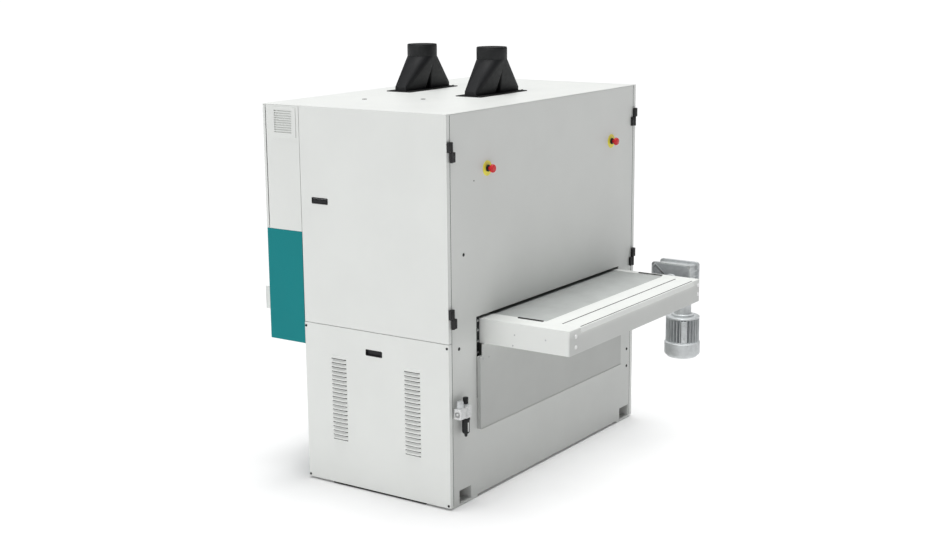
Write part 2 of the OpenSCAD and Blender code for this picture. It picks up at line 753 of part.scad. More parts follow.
module feed_belt() color("slategray")
    rotate([90, 0, 0]) rotate([0, 90, 0]) translate([0, 0, belt_x0])
        linear_extrude(feed_belt_w) difference() {
            union() {
                for (s = [-1, 1])
                    translate([s * feed_roller_y, feed_roller_z])
                        circle(feed_roller_r + run + feed_belt_t);
                translate([-feed_roller_y, feed_roller_z - feed_roller_r - run - feed_belt_t])
                    square([2 * feed_roller_y, 2 * (feed_roller_r + run + feed_belt_t)]);
            }
            for (s = [-1, 1])
                translate([s * feed_roller_y, feed_roller_z]) circle(feed_roller_r + run);
            translate([-feed_roller_y, feed_roller_z - feed_roller_r - run])
                square([2 * feed_roller_y, 2 * (feed_roller_r + run)]);
        }

module feed_roller(y, x1) {
    tube_roller(belt_x0 + 4, belt_x1 - 4, y, feed_roller_z, feed_roller_r, feed_wall);
    bar_x(table_x0 + 6, x1, y, feed_roller_z, feed_journal_r);
}

module feed_drive_roller() color("silver") feed_roller(-feed_roller_y, gear_x0 + gear_w - 4);

module feed_idler_roller() color("silver") feed_roller(feed_roller_y, table_x1 - 4);

module feed_gearbox() color("silver") {
    yc = -feed_roller_y - 1;
    difference() {
        union() {
            for (x = [gear_x0, gear_x0 + gear_w - 12])
                translate([x, yc, feed_roller_z]) rotate([90, 0, 90])
                    linear_extrude(12) round_rect(gear_l, gear_h, 16);
            block([gear_x0 + 12, yc - 100, feed_roller_z - 92],
                [gear_x0 + gear_w - 12, yc + 100, feed_roller_z + 92]);
            bar_z(feed_roller_z - 190, feed_roller_z - 60, gear_x, -worm_y, 46);
            for (y = [-90, 90], z = [-35, 35])
                bar_x(table_x1, gear_x0, yc + y, feed_roller_z + z, 9);
        }
        bar_x(gear_x0 - 1, gear_x0 + gear_w + 1, -feed_roller_y, feed_roller_z, feed_journal_r + fit);
    }
}

module feed_motor() color("silver") {
    z1 = feed_roller_z - 190;
    translate([gear_x, -worm_y, 0]) {
        bar_z(z1 - 10, z1, 0, 0, feed_motor_r);
        bar_z(z1 - 145, z1 - 10, 0, 0, feed_motor_r - 16);
        for (k = [0:35])
            rotate([0, 0, 10 * k])
                block([feed_motor_r - 20, -1.6, z1 - 145], [feed_motor_r - 1, 1.6, z1 - 10]);
        bar_z(z1 - 230, z1 - 145, 0, 0, feed_motor_r + 5);
    }
}

// ---------- lifting gear ----------

module lift_screw(x, y) {
    sx = table_shift + x * screw_dx;
    sy = y * screw_dy;
    bar_z(base_h - 18, base_h, sx, sy, screw_r - 3);
    bar_z(base_h, screw_top, sx, sy, screw_r);
    bar_z(sprocket_z, sprocket_z + sprocket_t, sx, sy, sprocket_r);
}

module lift_screw_outfeed_left() color("slategray") lift_screw(-1, -1);

module lift_screw_outfeed_right() color("slategray") lift_screw(1, -1);

module lift_screw_infeed_left() color("slategray") lift_screw(-1, 1);

module lift_screw_infeed_right() color("slategray") lift_screw(1, 1);

module lift_chain() color("dimgray")
    translate([table_shift, 0, sprocket_z + 1]) linear_extrude(sprocket_t - 2) difference() {
        round_rect(2 * (screw_dx + sprocket_r + run + chain_t), 2 * (screw_dy + sprocket_r + run + chain_t),
            sprocket_r + run + chain_t);
        round_rect(2 * (screw_dx + sprocket_r + run), 2 * (screw_dy + sprocket_r + run),
            sprocket_r + run);
    }

module lift_gearmotor() color("steelblue") {
    sx = table_shift - screw_dx;
    difference() {
        block([sx - 55, screw_dy - 55, 125], [sx + 55, in_d, 195]);
        bar_z(124, 196, sx, screw_dy, screw_r + fit);
    }
    bar_x(sx + 55, sx + 260, screw_dy, 172, 45);
}

// ---------- sanding heads ----------

module head_frame(s) {
    y = s * head_y;
    beam_z0 = drum_z + drum_r + 75;
    beam_z1 = tension_z - drum_r - 60;
    difference() {
        union() {
            difference() {
                block([wall_x0 + wall_t, y - 60, beam_z0], [wall_x1, y + 60, beam_z1]);
                block([wall_x0, y - 52, beam_z0 + 8], [wall_x1 + 1, y + 52, beam_z1 - 8]);
            }
            for (x = [head_x0, head_x1])
                block([x, y - 50, drum_z - 52], [x + end_plate_t, y + 50, tension_z + 50]);
        }
        bar_x(head_x0 - 1, head_x1 + end_plate_t + 1, y, drum_z, drum_journal_r + fit);
        bar_x(head_x0 - 1, head_x1 + end_plate_t + 1, y, tension_z, tension_journal_r + fit);
    }
}

module outfeed_head_frame() color("steelblue") head_frame(-1);

module infeed_head_frame() color("steelblue") head_frame(1);

module contact_drum(s) {
    y = s * head_y;
    tube_roller(face_x0, face_x1, y, drum_z, drum_r, drum_wall);
    bar_x(pulley_x + pulley_w, head_x1 + end_plate_t + 5, y, drum_z, drum_journal_r);
    bar_x(pulley_x, pulley_x + pulley_w, y, drum_z, pulley_r);
}

module outfeed_contact_drum() color("darkslategray") contact_drum(-1);

module infeed_contact_drum() color("darkslategray") contact_drum(1);

module tension_roller(s) {
    tube_roller(face_x0, face_x1, s * head_y, tension_z, drum_r, tension_wall);
    bar_x(head_x0 - 5, head_x1 + end_plate_t + 5, s * head_y, tension_z, tension_journal_r);
}

module outfeed_tension_roller() color("silver") tension_roller(-1);

module infeed_tension_roller() color("silver") tension_roller(1);

module sanding_belt(s)
    belt_loop(belt_c - sanding_w / 2, belt_c + sanding_w / 2, s * head_y, drum_z,
        tension_z - drum_z, drum_r + run, abrasive_t);

module outfeed_sanding_belt() color("sienna") sanding_belt(-1);

module infeed_sanding_belt() color("sienna") sanding_belt(1);

module pressure_roller(s) {
    bar_x(face_x0, face_x1, s * pressure_y, pressure_z, pressure_r);
    bar_x(wall_x0 - 2, wall_x1 + wall_t + 2, s * pressure_y, pressure_z, 15);
}

module outfeed_pressure_roller() color("dimgray") pressure_roller(-1);

module infeed_pressure_roller() color("dimgray") pressure_roller(1);

module main_motor(s) {
    x0 = pulley_x + 70;
    y = s * motor_y;
    difference() {
        union() {
            bar_x(x0, x0 + motor_l, y, motor_z, motor_r);
            for (x = [x0 + 20, x0 + 190])
                block([x, y - 90, base_h], [x + 60, y + 90, motor_z - 60]);
        }
        bar_x(x0 - 1, x0 + 80, y, motor_z, motor_shaft_r + fit);
    }
}

module outfeed_main_motor() color("steelblue") main_motor(-1);

module infeed_main_motor() color("steelblue") main_motor(1);

module motor_pulley(s) {
    bar_x(pulley_x, pulley_x + pulley_w, s * motor_y, motor_z, pulley_r);
    bar_x(pulley_x + pulley_w, pulley_x + 148, s * motor_y, motor_z, motor_shaft_r);
}

module outfeed_motor_pulley() color("dimgray") motor_pulley(-1);

module infeed_motor_pulley() color("dimgray") motor_pulley(1);

module drive_belts() color("black")
    for (s = [-1, 1]) {
        rise = drum_z - motor_z;
        side = s * (head_y - motor_y);
        belt_loop(pulley_x + 2, pulley_x + pulley_w - 2, s * motor_y, motor_z,
            sqrt(rise * rise + side * side), pulley_r + run, 9, -atan2(side, rise));
    }

base_frame();
column_frame();
outfeed_plate();
infeed_plate();
roof_panel();
left_base_panel();
right_base_panel();
panel_screws();
outfeed_dust_hood();
infeed_dust_hood();
hinge_leaves();
control_cabinet();
side_vents();
side_cheeks();
estop_discs();
air_unit();
outfeed_main_motor();
infeed_main_motor();
drive_belts();
lift_chain();
lift_gearmotor();
outfeed_head_frame();
infeed_head_frame();
outfeed_sanding_belt();
infeed_sanding_belt();
left_door();
left_door_latch();
left_door_hinges();
right_door();
right_door_latch();
right_door_hinges();
left_cabinet_door();
right_cabinet_door();
operator_screen();
main_switch();
outfeed_left_estop();
outfeed_right_estop();
infeed_estop();
air_regulator_knob();
table_frame();
end_covers();
nose_plates();
table_aprons();
feed_belt();
feed_drive_roller();
feed_idler_roller();
feed_gearbox();
feed_motor();
lift_screw_outfeed_left();
lift_screw_outfeed_right();
lift_screw_infeed_left();
lift_screw_infeed_right();
outfeed_contact_drum();
infeed_contact_drum();
outfeed_tension_roller();
infeed_tension_roller();
outfeed_motor_pulley();
infeed_motor_pulley();
outfeed_pressure_roller();
infeed_pressure_roller();
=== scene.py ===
import math

import bmesh
import bpy
from bpy.props import FloatProperty, FloatVectorProperty, IntProperty, PointerProperty
from mathutils import Matrix, Vector


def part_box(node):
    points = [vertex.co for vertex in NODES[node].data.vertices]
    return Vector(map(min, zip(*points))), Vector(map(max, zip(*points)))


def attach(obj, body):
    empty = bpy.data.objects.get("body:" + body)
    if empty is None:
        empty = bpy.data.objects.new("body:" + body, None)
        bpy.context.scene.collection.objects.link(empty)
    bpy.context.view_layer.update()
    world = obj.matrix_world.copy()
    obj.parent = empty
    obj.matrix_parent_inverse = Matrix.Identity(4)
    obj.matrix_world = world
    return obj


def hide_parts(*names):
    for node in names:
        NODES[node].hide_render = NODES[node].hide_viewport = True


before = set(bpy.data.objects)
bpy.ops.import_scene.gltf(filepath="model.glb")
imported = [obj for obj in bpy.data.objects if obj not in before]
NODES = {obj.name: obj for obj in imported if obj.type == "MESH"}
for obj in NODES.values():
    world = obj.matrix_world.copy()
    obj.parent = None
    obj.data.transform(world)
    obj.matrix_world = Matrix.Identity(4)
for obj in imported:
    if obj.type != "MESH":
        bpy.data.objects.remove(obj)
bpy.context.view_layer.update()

bl_info = {
    "name": "Two-head wide belt sander",
    "version": (1, 0, 0),
    "blender": (4, 5, 0),
    "location": "3D View > Sidebar > Sander",
    "description": "Dresses the packed sander with its finishes, fittings and studio",
    "category": "Object",
}

MM = 0.001  # lengths below are in millimetres, and one millimetre is this many metres
SHARP = math.radians(38)  # edges that turn by more than this stay crisp
SIDES = {"left": -1, "right": 1}
ENDS = {"outfeed": -1, "infeed": 1}
FACE_Y = -442  # outer face of the outfeed plate


# ---------- sizes and places that come from the frame ----------


def cad(node):
    """Lowest and highest corner of a CAD node, in millimetres."""
    lo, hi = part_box(node)
    return lo / MM, hi / MM


def middle(node):
    """Centre of a CAD node, in millimetres."""
    lo, hi = cad(node)
    return (lo + hi) / 2


# ---------- mesh work ----------


def ring(profile_point, axis, centre, angle):
    """Place of a point of a turned profile after it has swung round its axis."""
    radius, height = profile_point
    across, up = radius * math.cos(angle), radius * math.sin(angle)
    spun = {"X": (height, across, up), "Y": (across, height, up), "Z": (across, up, height)}
    return Vector(spun[axis]) + Vector(centre)


def loft(mesh, loops, cap_start=False, cap_end=False, finish=0):
    """Skins closed loops that have the same number of points."""
    rings = [[mesh.verts.new(p) for p in loop] for loop in loops]
    faces = []
    for low, high in zip(rings, rings[1:]):
        for i, corner in enumerate(low):
            j = (i + 1) % len(low)
            faces.append(mesh.faces.new((corner, low[j], high[j], high[i])))
    if cap_start:
        faces.append(mesh.faces.new(rings[0][::-1]))
    if cap_end:
        faces.append(mesh.faces.new(rings[-1]))
    for face in faces:
        face.material_index = finish


def turned(mesh, axis, centre, profile, steps=48, finish=0):
    """A turned form. The profile is (radius, height) pairs, and it closes at both ends."""
    loops = [
        [ring(p, axis, centre, math.tau * k / steps) for k in range(steps)] for p in profile
    ]
    loft(mesh, loops, True, True, finish)


def block(mesh, lo, hi, edge=1.0, steps=2, finish=0):
    """A block with rounded edges, from its lowest to its highest corner."""
    lo, hi = Vector(lo), Vector(hi)
    old = set(mesh.faces)
    place = Matrix.Translation((lo + hi) / 2) @ Matrix.Diagonal((*(hi - lo), 1))
    corners = bmesh.ops.create_cube(mesh, size=1, matrix=place)["verts"]
    edges = list({e for v in corners for e in v.link_edges})
    if edge > 0:
        bmesh.ops.bevel(
            mesh, geom=edges, offset=edge, segments=steps, profile=0.5,
            affect="EDGES", clamp_overlap=True,
        )
    for face in set(mesh.faces) - old:
        face.material_index = finish


def rounded(width, height, radius, corner_steps=6):
    """Outline of a rounded rectangle about the origin."""
    points = []
    for quarter in range(4):
        turn = math.pi / 2 * quarter
        sx = 1 if quarter in (0, 3) else -1
        sy = 1 if quarter in (0, 1) else -1
        for k in range(corner_steps + 1):
            a = turn + math.pi / 2 * k / corner_steps
            points.append((
                sx * (width / 2 - radius) + radius * math.cos(a),
                sy * (height / 2 - radius) + radius * math.sin(a),
            ))
    return points


def lift(axis, outline, level):
    """Sets a flat outline across an axis at a level along it."""
    place = {
        "X": lambda u, v: (level, u, v),
        "Y": lambda u, v: (u, level, v),
        "Z": lambda u, v: (u, v, level),
    }[axis]
    return [Vector(place(u, v)) for u, v in outline]


def plate(mesh, axis, centre, size, levels, radius, edge=1.0, finish=0):
    """A rounded plate across an axis, with its outer edges eased."""
    u, v = [i for i in range(3) if i != "XYZ".index(axis)]
    loops = []
    for level, inset in (
        (levels[0], edge), (levels[0] + edge, 0), (levels[1] - edge, 0), (levels[1], edge),
    ):
        outline = rounded(size[0] - 2 * inset, size[1] - 2 * inset, max(radius - inset, 0.5))
        loops.append(lift(axis, [(a + centre[u], b + centre[v]) for a, b in outline], level))
    loft(mesh, loops, True, True, finish)


def cap_screw(mesh, axis, way, seat, radius, height, socket=True, finish=0):
    """Head of a socket cap screw that stands on its seat and looks along way times the axis."""
    steps = [(radius * 0.55, 0), (radius, 0), (radius, height * 0.75), (radius * 0.8, height)]
    if socket:
        steps += [(radius * 0.5, height), (radius * 0.45, height * 0.35)]
    turned(mesh, axis, seat, [(r, way * h) for r, h in steps], 16, finish)


def piece(name, mesh, body, finishes, replaces=(), thin=False):
    """Turns mesh work in millimetres into an object that rides on a CAD body."""
    bmesh.ops.scale(mesh, vec=(MM, MM, MM), verts=mesh.verts)
    if not thin:
        bmesh.ops.recalc_face_normals(mesh, faces=mesh.faces)
    for face in mesh.faces:
        face.smooth = True
    for edge in mesh.edges:
        if len(edge.link_faces) == 2 and edge.calc_face_angle(0) > SHARP:
            edge.smooth = False
    data = bpy.data.meshes.new(name)
    mesh.to_mesh(data)
    mesh.free()
    for finish in finishes:
        data.materials.append(finish)
    made = bpy.data.objects.new(name, data)
    bpy.context.scene.collection.objects.link(made)
    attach(made, body)
    if replaces:
        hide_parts(*replaces)
    return made


def dress(node, finish, edge=0.0):
    """Gives a CAD node its finish, and eases its edges by a small radius."""
    carried = NODES[node]
    carried.data.materials.clear()
    carried.data.materials.append(finish)
    if edge > 0:
        weld = carried.modifiers.new("joined faces", "WELD")
        weld.merge_threshold = 0.01 * MM
        ease = carried.modifiers.new("eased edges", "BEVEL")
        ease.width = edge * MM
        ease.segments = 2
        ease.limit_method = "ANGLE"
        ease.angle_limit = math.radians(50)
        ease.harden_normals = False


# ---------- finishes ----------


def linear(code):
    """Linear colour of an sRGB hex code."""
    parts = [int(code[i:i + 2], 16) / 255 for i in (1, 3, 5)]
    return tuple(c / 12.92 if c <= 0.04045 else ((c + 0.055) / 1.055) ** 2.4 for c in parts)


def tint(colour, share):
    """A colour with alpha, lighter or darker by a share."""
    return (*(min(1.0, c * share) for c in colour[:3]), 1.0)


def add(tree, kind, inputs=None, **settings):
    """Adds a node, sets its properties, and fills or links its inputs."""
    node = tree.nodes.new(kind)
    for key, value in settings.items():
        setattr(node, key, value)
    for key, value in (inputs or {}).items():
        if isinstance(value, bpy.types.NodeSocket):
            tree.links.new(value, node.inputs[key])
        else:
            node.inputs[key].default_value = value
    return node


def start_finish(name, **surface):
    """A new material: its tree, its shader with plain values set, and places in metres."""
    finish = bpy.data.materials.new(name)
    finish.use_nodes = True
    tree = finish.node_tree
    tree.nodes.clear()
    sockets = {key.replace("_", " "): value for key, value in surface.items()}
    shader = add(tree, "ShaderNodeBsdfPrincipled", sockets)
    add(tree, "ShaderNodeOutputMaterial", {"Surface": shader.outputs[0]})
    place = add(tree, "ShaderNodeTexCoord").outputs["Object"]
    return finish, tree, shader, place


def per_metre(size_mm):
    """Texture scale for a pattern whose grains are this many millimetres apart."""
    return 1 / (size_mm * MM)


def blotch(tree, place, size_mm, colours, low=0.35, high=0.65, detail=3.0):
    """Colour that drifts between two tones over patches of a real size."""
    noise = add(tree, "ShaderNodeTexNoise", {
        "Vector": place, "Scale": per_metre(size_mm), "Detail": detail, "Roughness": 0.55,
    })
    ramp = add(tree, "ShaderNodeValToRGB", {"Fac": noise.outputs["Fac"]})
    for stop, (spot, colour) in zip(ramp.color_ramp.elements, zip((low, high), colours)):
        stop.position = spot
        stop.color = colour
    return ramp.outputs["Color"]


def gloss_drift(tree, shader, place, size_mm, low, high):
    """Roughness that drifts between two values over patches of a real size."""
    noise = add(tree, "ShaderNodeTexNoise", {
        "Vector": place, "Scale": per_metre(size_mm), "Detail": 4.0, "Roughness": 0.6,
    })
    spread = add(tree, "ShaderNodeMapRange", {
        "Value": noise.outputs["Fac"], "From Min": 0.3, "From Max": 0.7,
        "To Min": low, "To Max": high,
    })
    tree.links.new(spread.outputs["Result"], shader.inputs["Roughness"])


def relief(tree, shader, height, depth_mm, strength=1.0):
    """Bump from a height that runs from 0 to 1."""
    bump = add(tree, "ShaderNodeBump", {
        "Height": height, "Distance": depth_mm * MM, "Strength": strength,
    })
    tree.links.new(bump.outputs["Normal"], shader.inputs["Normal"])


def powder_coat(name, colour, roughness=0.42, peel_mm=5.0, shine=0.5, shade=None):
    """Polyester powder coat on sheet steel, sprayed and baked: an even satin skin with
    orange peel. The peel is drawn coarser than its real 2 mm so that it shows. A shade,
    (low, high, share), stands in for light that falls off towards the floor."""
    finish, tree, shader, place = start_finish(name, IOR=1.5, Specular_IOR_Level=shine)
    tone = blotch(tree, place, 320, (tint(colour, 0.972), tint(colour, 1.0)))
    if shade:
        up = add(tree, "ShaderNodeSeparateXYZ", {"Vector": place}).outputs["Z"]
        fall = add(tree, "ShaderNodeMapRange", {
            "Value": up, "From Min": shade[0] * MM, "From Max": shade[1] * MM,
            "To Min": shade[2], "To Max": 1.0,
        })
        tone = add(tree, "ShaderNodeVectorMath", {
            0: tone, "Scale": fall.outputs["Result"],
        }, operation="SCALE").outputs[0]
    tree.links.new(tone, shader.inputs["Base Color"])
    gloss_drift(tree, shader, place, 60, roughness - 0.05, roughness + 0.06)
    peel = add(tree, "ShaderNodeTexNoise", {
        "Vector": place, "Scale": per_metre(peel_mm), "Detail": 1.0, "Roughness": 0.4,
    })
    relief(tree, shader, peel.outputs["Fac"], 0.12, 0.5)
    return finish


def moulded_plastic(name, colour, roughness=0.45, grain_mm=2.5, depth_mm=0.15):
    """Injection-moulded ABS with a fine spark-eroded grain: dark parts keep a soft grey
    sheen on their rounded edges."""
    finish, tree, shader, place = start_finish(name, IOR=1.53, Specular_IOR_Level=0.32)
    tone = blotch(tree, place, 45, (tint(colour, 0.9), tint(colour, 1.12)))
    tree.links.new(tone, shader.inputs["Base Color"])
    gloss_drift(tree, shader, place, 18, roughness - 0.06, roughness + 0.08)
    grain = add(tree, "ShaderNodeTexNoise", {
        "Vector": place, "Scale": per_metre(grain_mm), "Detail": 3.0, "Roughness": 0.6,
    })
    relief(tree, shader, grain.outputs["Fac"], depth_mm, 0.6)
    return finish


def plated_steel(name, colour, roughness=0.28, grain_mm=3.0):
    """Zinc-plated or turned steel: bright metal with small uneven patches of lustre."""
    finish, tree, shader, place = start_finish(name, Metallic=1.0)
    tone = blotch(tree, place, 12, (tint(colour, 0.86), tint(colour, 1.05)))
    tree.links.new(tone, shader.inputs["Base Color"])
    gloss_drift(tree, shader, place, grain_mm, roughness - 0.06, roughness + 0.1)
    return finish


def ground_steel(name, colour, along, roughness=0.3, line_mm=0.8, length_mm=40):
    """Ground steel: fine grinding lines run along one axis and blur highlights across it."""
    finish, tree, shader, place = start_finish(name, Metallic=1.0)
    stretch = Vector((per_metre(line_mm),) * 3)
    stretch["XYZ".index(along)] = per_metre(length_mm)
    lines = add(tree, "ShaderNodeMapping", {"Vector": place, "Scale": stretch})
    noise = add(tree, "ShaderNodeTexNoise", {
        "Vector": lines.outputs["Vector"], "Scale": 1.0, "Detail": 4.0, "Roughness": 0.6,
    })
    ramp = add(tree, "ShaderNodeValToRGB", {"Fac": noise.outputs["Fac"]})
    ramp.color_ramp.elements[0].color = tint(colour, 0.82)
    ramp.color_ramp.elements[1].color = tint(colour, 1.08)
    tree.links.new(ramp.outputs["Color"], shader.inputs["Base Color"])
    gloss_drift(tree, shader, lines.outputs["Vector"], 1000, roughness - 0.06, roughness + 0.12)
    relief(tree, shader, noise.outputs["Fac"], 0.05, 0.5)
    return finish


def cast_aluminium(name, colour, roughness=0.42, grain_mm=4.0):
    """Die-cast and shot-blasted aluminium: a light matt metal with a pebbled skin."""
    finish, tree, shader, place = start_finish(name, Metallic=0.45)
    tone = blotch(tree, place, 22, (tint(colour, 0.92), tint(colour, 1.04)))
    tree.links.new(tone, shader.inputs["Base Color"])
    gloss_drift(tree, shader, place, 14, roughness - 0.06, roughness + 0.12)
    pebbles = add(tree, "ShaderNodeTexVoronoi", {
        "Vector": place, "Scale": per_metre(grain_mm), "Randomness": 1.0,
    })
    relief(tree, shader, pebbles.outputs["Distance"], 0.2, 0.5)
    return finish


def speckled_zamak(name, colour, speck_mm=2.2):
    """Die-cast zinc body with a pale lacquer: fine darker specks show through it."""
    finish, tree, shader, place = start_finish(name, Metallic=0.2, Specular_IOR_Level=0.5)
    specks = add(tree, "ShaderNodeTexNoise", {
        "Vector": place, "Scale": per_metre(speck_mm), "Detail": 2.0, "Roughness": 0.7,
    })
    ramp = add(tree, "ShaderNodeValToRGB", {"Fac": specks.outputs["Fac"]})
    for stop, (spot, share) in zip(ramp.color_ramp.elements, ((0.36, 0.5), (0.5, 1.0))):
        stop.position = spot
        stop.color = tint(colour, share)
    tree.links.new(ramp.outputs["Color"], shader.inputs["Base Color"])
    gloss_drift(tree, shader, place, 10, 0.4, 0.55)
    relief(tree, shader, specks.outputs["Fac"], 0.1, 0.4)
    return finish


def woven_belting(name, colour, thread_mm=4.0):
    """PVC conveyor belting with a pressed fabric top: matt, with a fine square weave. The
    weave is drawn coarser than its real 1 mm so that it shows."""
    finish, tree, shader, place = start_finish(name, IOR=1.5, Specular_IOR_Level=0.35)
    tone = blotch(tree, place, 150, (tint(colour, 0.93), tint(colour, 1.04)))
    tree.links.new(tone, shader.inputs["Base Color"])
    gloss_drift(tree, shader, place, 40, 0.5, 0.62)
    threads = [
        add(tree, "ShaderNodeTexWave", {
            "Vector": place, "Scale": per_metre(thread_mm) / 20, "Distortion": 0.2,
        }, bands_direction=way).outputs["Fac"]
        for way in ("X", "Y")
    ]
    crossed = add(tree, "ShaderNodeMath", {0: threads[0], 1: threads[1]}, operation="MULTIPLY")
    relief(tree, shader, crossed.outputs[0], 0.25, 0.5)
    return finish


def ground_rubber(name, colour, groove_mm=None):
    """Ground rubber: dull, slightly dusty. A contact drum has helical grooves cut in it."""
    finish, tree, shader, place = start_finish(name, IOR=1.52, Specular_IOR_Level=0.4)
    tone = blotch(tree, place, 30, (tint(colour, 0.85), tint(colour, 1.35)))
    tree.links.new(tone, shader.inputs["Base Color"])
    gloss_drift(tree, shader, place, 12, 0.6, 0.78)
    if groove_mm:
        grooves = add(tree, "ShaderNodeTexWave", {
            "Vector": place, "Scale": per_metre(groove_mm) / 20, "Distortion": 0.0,
        }, bands_direction="DIAGONAL")
        relief(tree, shader, grooves.outputs["Fac"], 2.0, 0.8)
    else:
        grain = add(tree, "ShaderNodeTexNoise", {
            "Vector": place, "Scale": per_metre(3), "Detail": 3.0,
        })
        relief(tree, shader, grain.outputs["Fac"], 0.2, 0.5)
    return finish


def abrasive_cloth(name, colour, grit_mm=3.0):
    """Aluminium-oxide grit on cloth: brown, dead matt, with sparkling lighter grains. The
    grit is drawn coarser than its real 0.2 mm so that it shows."""
    finish, tree, shader, place = start_finish(name, IOR=1.6, Roughness=0.85)
    grains = add(tree, "ShaderNodeTexVoronoi", {"Vector": place, "Scale": per_metre(grit_mm)})
    ramp = add(tree, "ShaderNodeValToRGB", {"Fac": grains.outputs["Distance"]})
    ramp.color_ramp.elements[0].color = tint(colour, 1.7)
    ramp.color_ramp.elements[1].color = tint(colour, 0.7)
    tree.links.new(ramp.outputs["Color"], shader.inputs["Base Color"])
    relief(tree, shader, grains.outputs["Distance"], 0.3, 0.7)
    return finish


def screen_glass(name, colour):
    """Toughened glass over a dark panel: a clean gloss with faint dust."""
    finish, tree, shader, place = start_finish(
        name, IOR=1.52, Coat_Weight=1.0, Coat_Roughness=0.03,
    )
    tone = blotch(tree, place, 60, (tint(colour, 0.9), tint(colour, 1.2)))
    tree.links.new(tone, shader.inputs["Base Color"])
    gloss_drift(tree, shader, place, 30, 0.06, 0.14)
    return finish


def painted_shade_black(name, colour):
    """Near-black painted shade for hollows, gaps and openings that would lie in shadow, with a
    little random tone; it gives back almost no light.
    """
    finish, tree, shader, place = start_finish(name, IOR=1.45, Roughness=0.95)
    tone = blotch(tree, place, 40, (tint(colour, 0.7), tint(colour, 1.6)))
    tree.links.new(tone, shader.inputs["Base Color"])
    return finish


# ---------- sizes and colours that a user may change ----------


def length_setting(name, description, default):
    return FloatProperty(name=name, description=description, default=default, min=0.0)


def colour_setting(name, description, code):
    return FloatVectorProperty(
        name=name, description=description, default=linear(code), subtype="COLOR",
        size=3, min=0.0, max=1.0,
    )


class SanderColours(bpy.types.PropertyGroup):
    body: colour_setting("Body", "Powder coat of the panels", "#E8EAE7")
    welded: colour_setting("Welded frame", "Coat of the base and columns", "#D9DAD8")
    cheeks: colour_setting("Cheeks", "Powder coat below the cabinet", "#128589")
    moulded: colour_setting("Black plastic", "Hoods, latches and knobs", "#17181A")
    hinge: colour_setting("Hinges", "Black coat of the hinges", "#141416")
    disc: colour_setting("Stop disc", "Yellow plastic behind a stop button", "#F6EC55")
    mushroom: colour_setting("Stop button", "Red plastic of a stop button", "#D8262C")
    belt: colour_setting("Feed belt", "Conveyor belting", "#B3B6B4")
    motor: colour_setting("Motor enamel", "Enamel of the inner motors", "#4F6373")
    grit: colour_setting("Abrasive", "Grit of the sanding belts", "#7A4630")


class SanderSizes(bpy.types.PropertyGroup):
    edge: length_setting("Fold radius", "Radius of folded sheet edges, in mm", 2.2)
    louvre_rise: length_setting("Louvre rise", "How far a louvre is pressed out, in mm", 7.0)
    screw_r: length_setting("Screw head", "Radius of the small cap screws, in mm", 5.0)
    louvres: IntProperty(name="Louvres", description="Louvres in a column", default=20, min=1)
    fins: IntProperty(name="Fins", description="Cooling fins of the feed motor", default=30, min=8)


class SanderFinishes:
    """Finishes that several pieces share. They are made once, by the first operator."""
    made = {}


def finish(name):
    return SanderFinishes.made[name]


class SANDER_OT_finishes(bpy.types.Operator):
    """Makes the finishes that the pieces share"""
    bl_idname = "sander.finishes"
    bl_label = "Finishes"

    def execute(self, context):
        c = context.scene.sander_colours
        steel = linear("#C9CACB")
        SanderFinishes.made = {
            "body": powder_coat("light grey powder coat", c.body),
            # painted shade: the plates take the body colour at 0.96, falling to 0.82 of it from 980
            # mm down to 500 mm and below, for the shade on the face and under the table
            "plate": powder_coat("light grey powder coat with painted shade on plate", tint(c.body, 0.96),
                                 shade=(500, 980, 0.82)),
            # painted shade: the end covers darken to 0.8 of the body colour from 896 mm down to 860
            # mm
            "cover": powder_coat("light grey powder coat with painted shade on covers", c.body,
                                 shade=(860, 896, 0.8)),
            # painted shade: the aprons under the table, and their rims, take the body colour at
            # 0.62 for the table's shadow
            "apron": powder_coat("light grey powder coat with painted shade on aprons", tint(c.body, 0.62), 0.48),
            "welded": powder_coat("grey powder coat on welded steel", c.welded, 0.5, 6.0),
            "cheeks": powder_coat("teal powder coat", c.cheeks, 0.5, 5.0, 0.15),
            "abs": moulded_plastic("moulded black ABS", c.moulded, 0.52),
            "hinge": powder_coat("black powder coat on hinge steel", c.hinge, 0.5, 3.0),
            "yellow": moulded_plastic("yellow polycarbonate", c.disc, 0.35, 2.0, 0.05),
            "red": moulded_plastic("red polycarbonate", c.mushroom, 0.28, 2.0, 0.03),
            # painted shade: a near-black finish for hollows, gaps and openings that would lie in
            # shadow
            "painted_shade": painted_shade_black("near-black painted shade for hollows", linear("#0C0C0D")),
            "zinc": plated_steel("zinc-plated steel", steel),
            "blackened": plated_steel("black oxide screw steel", linear("#2A2A2C"), 0.4),
            "ground": ground_steel("cylindrical ground steel", steel, "X"),
            "ground upright": ground_steel("ground screw steel", steel, "Z"),
            "speckled": speckled_zamak("speckled die-cast zinc", linear("#E6E7E7")),
            "cast": cast_aluminium("shot-blasted die-cast aluminium", linear("#CDD0D1")),
            # painted shade: the motor core between the cooling fins is a darker grey aluminium
            "fins": cast_aluminium("aluminium with painted shade between fins", linear("#7E8184"), 0.5, 3.0),
            # painted shade: the floors of the gearbox recesses are a darker grey aluminium
            "recess": cast_aluminium("aluminium with painted shade in recess", linear("#B4B7BA"), 0.5, 3.0),
            "nylon": moulded_plastic("white nylon plug", linear("#FBFBFB"), 0.35, 2.0, 0.03),
            "belt": woven_belting("grey PVC belting", c.belt),
            "drum": ground_rubber("grooved contact rubber", linear("#2B2A29"), 40),
            "rubber": ground_rubber("black rubber", linear("#1B1B1B")),
            "motor": powder_coat("blue-grey motor enamel", c.motor, 0.36, 4.0),
            "grit": abrasive_cloth("aluminium-oxide abrasive cloth", c.grit),
            "glass": screen_glass("screen glass", linear("#10161C")),
            "console": moulded_plastic("dark grey console ABS", linear("#3A3D40")),
        }
        return {"FINISHED"}


# ---------- sheet metal that keeps its CAD shape ----------


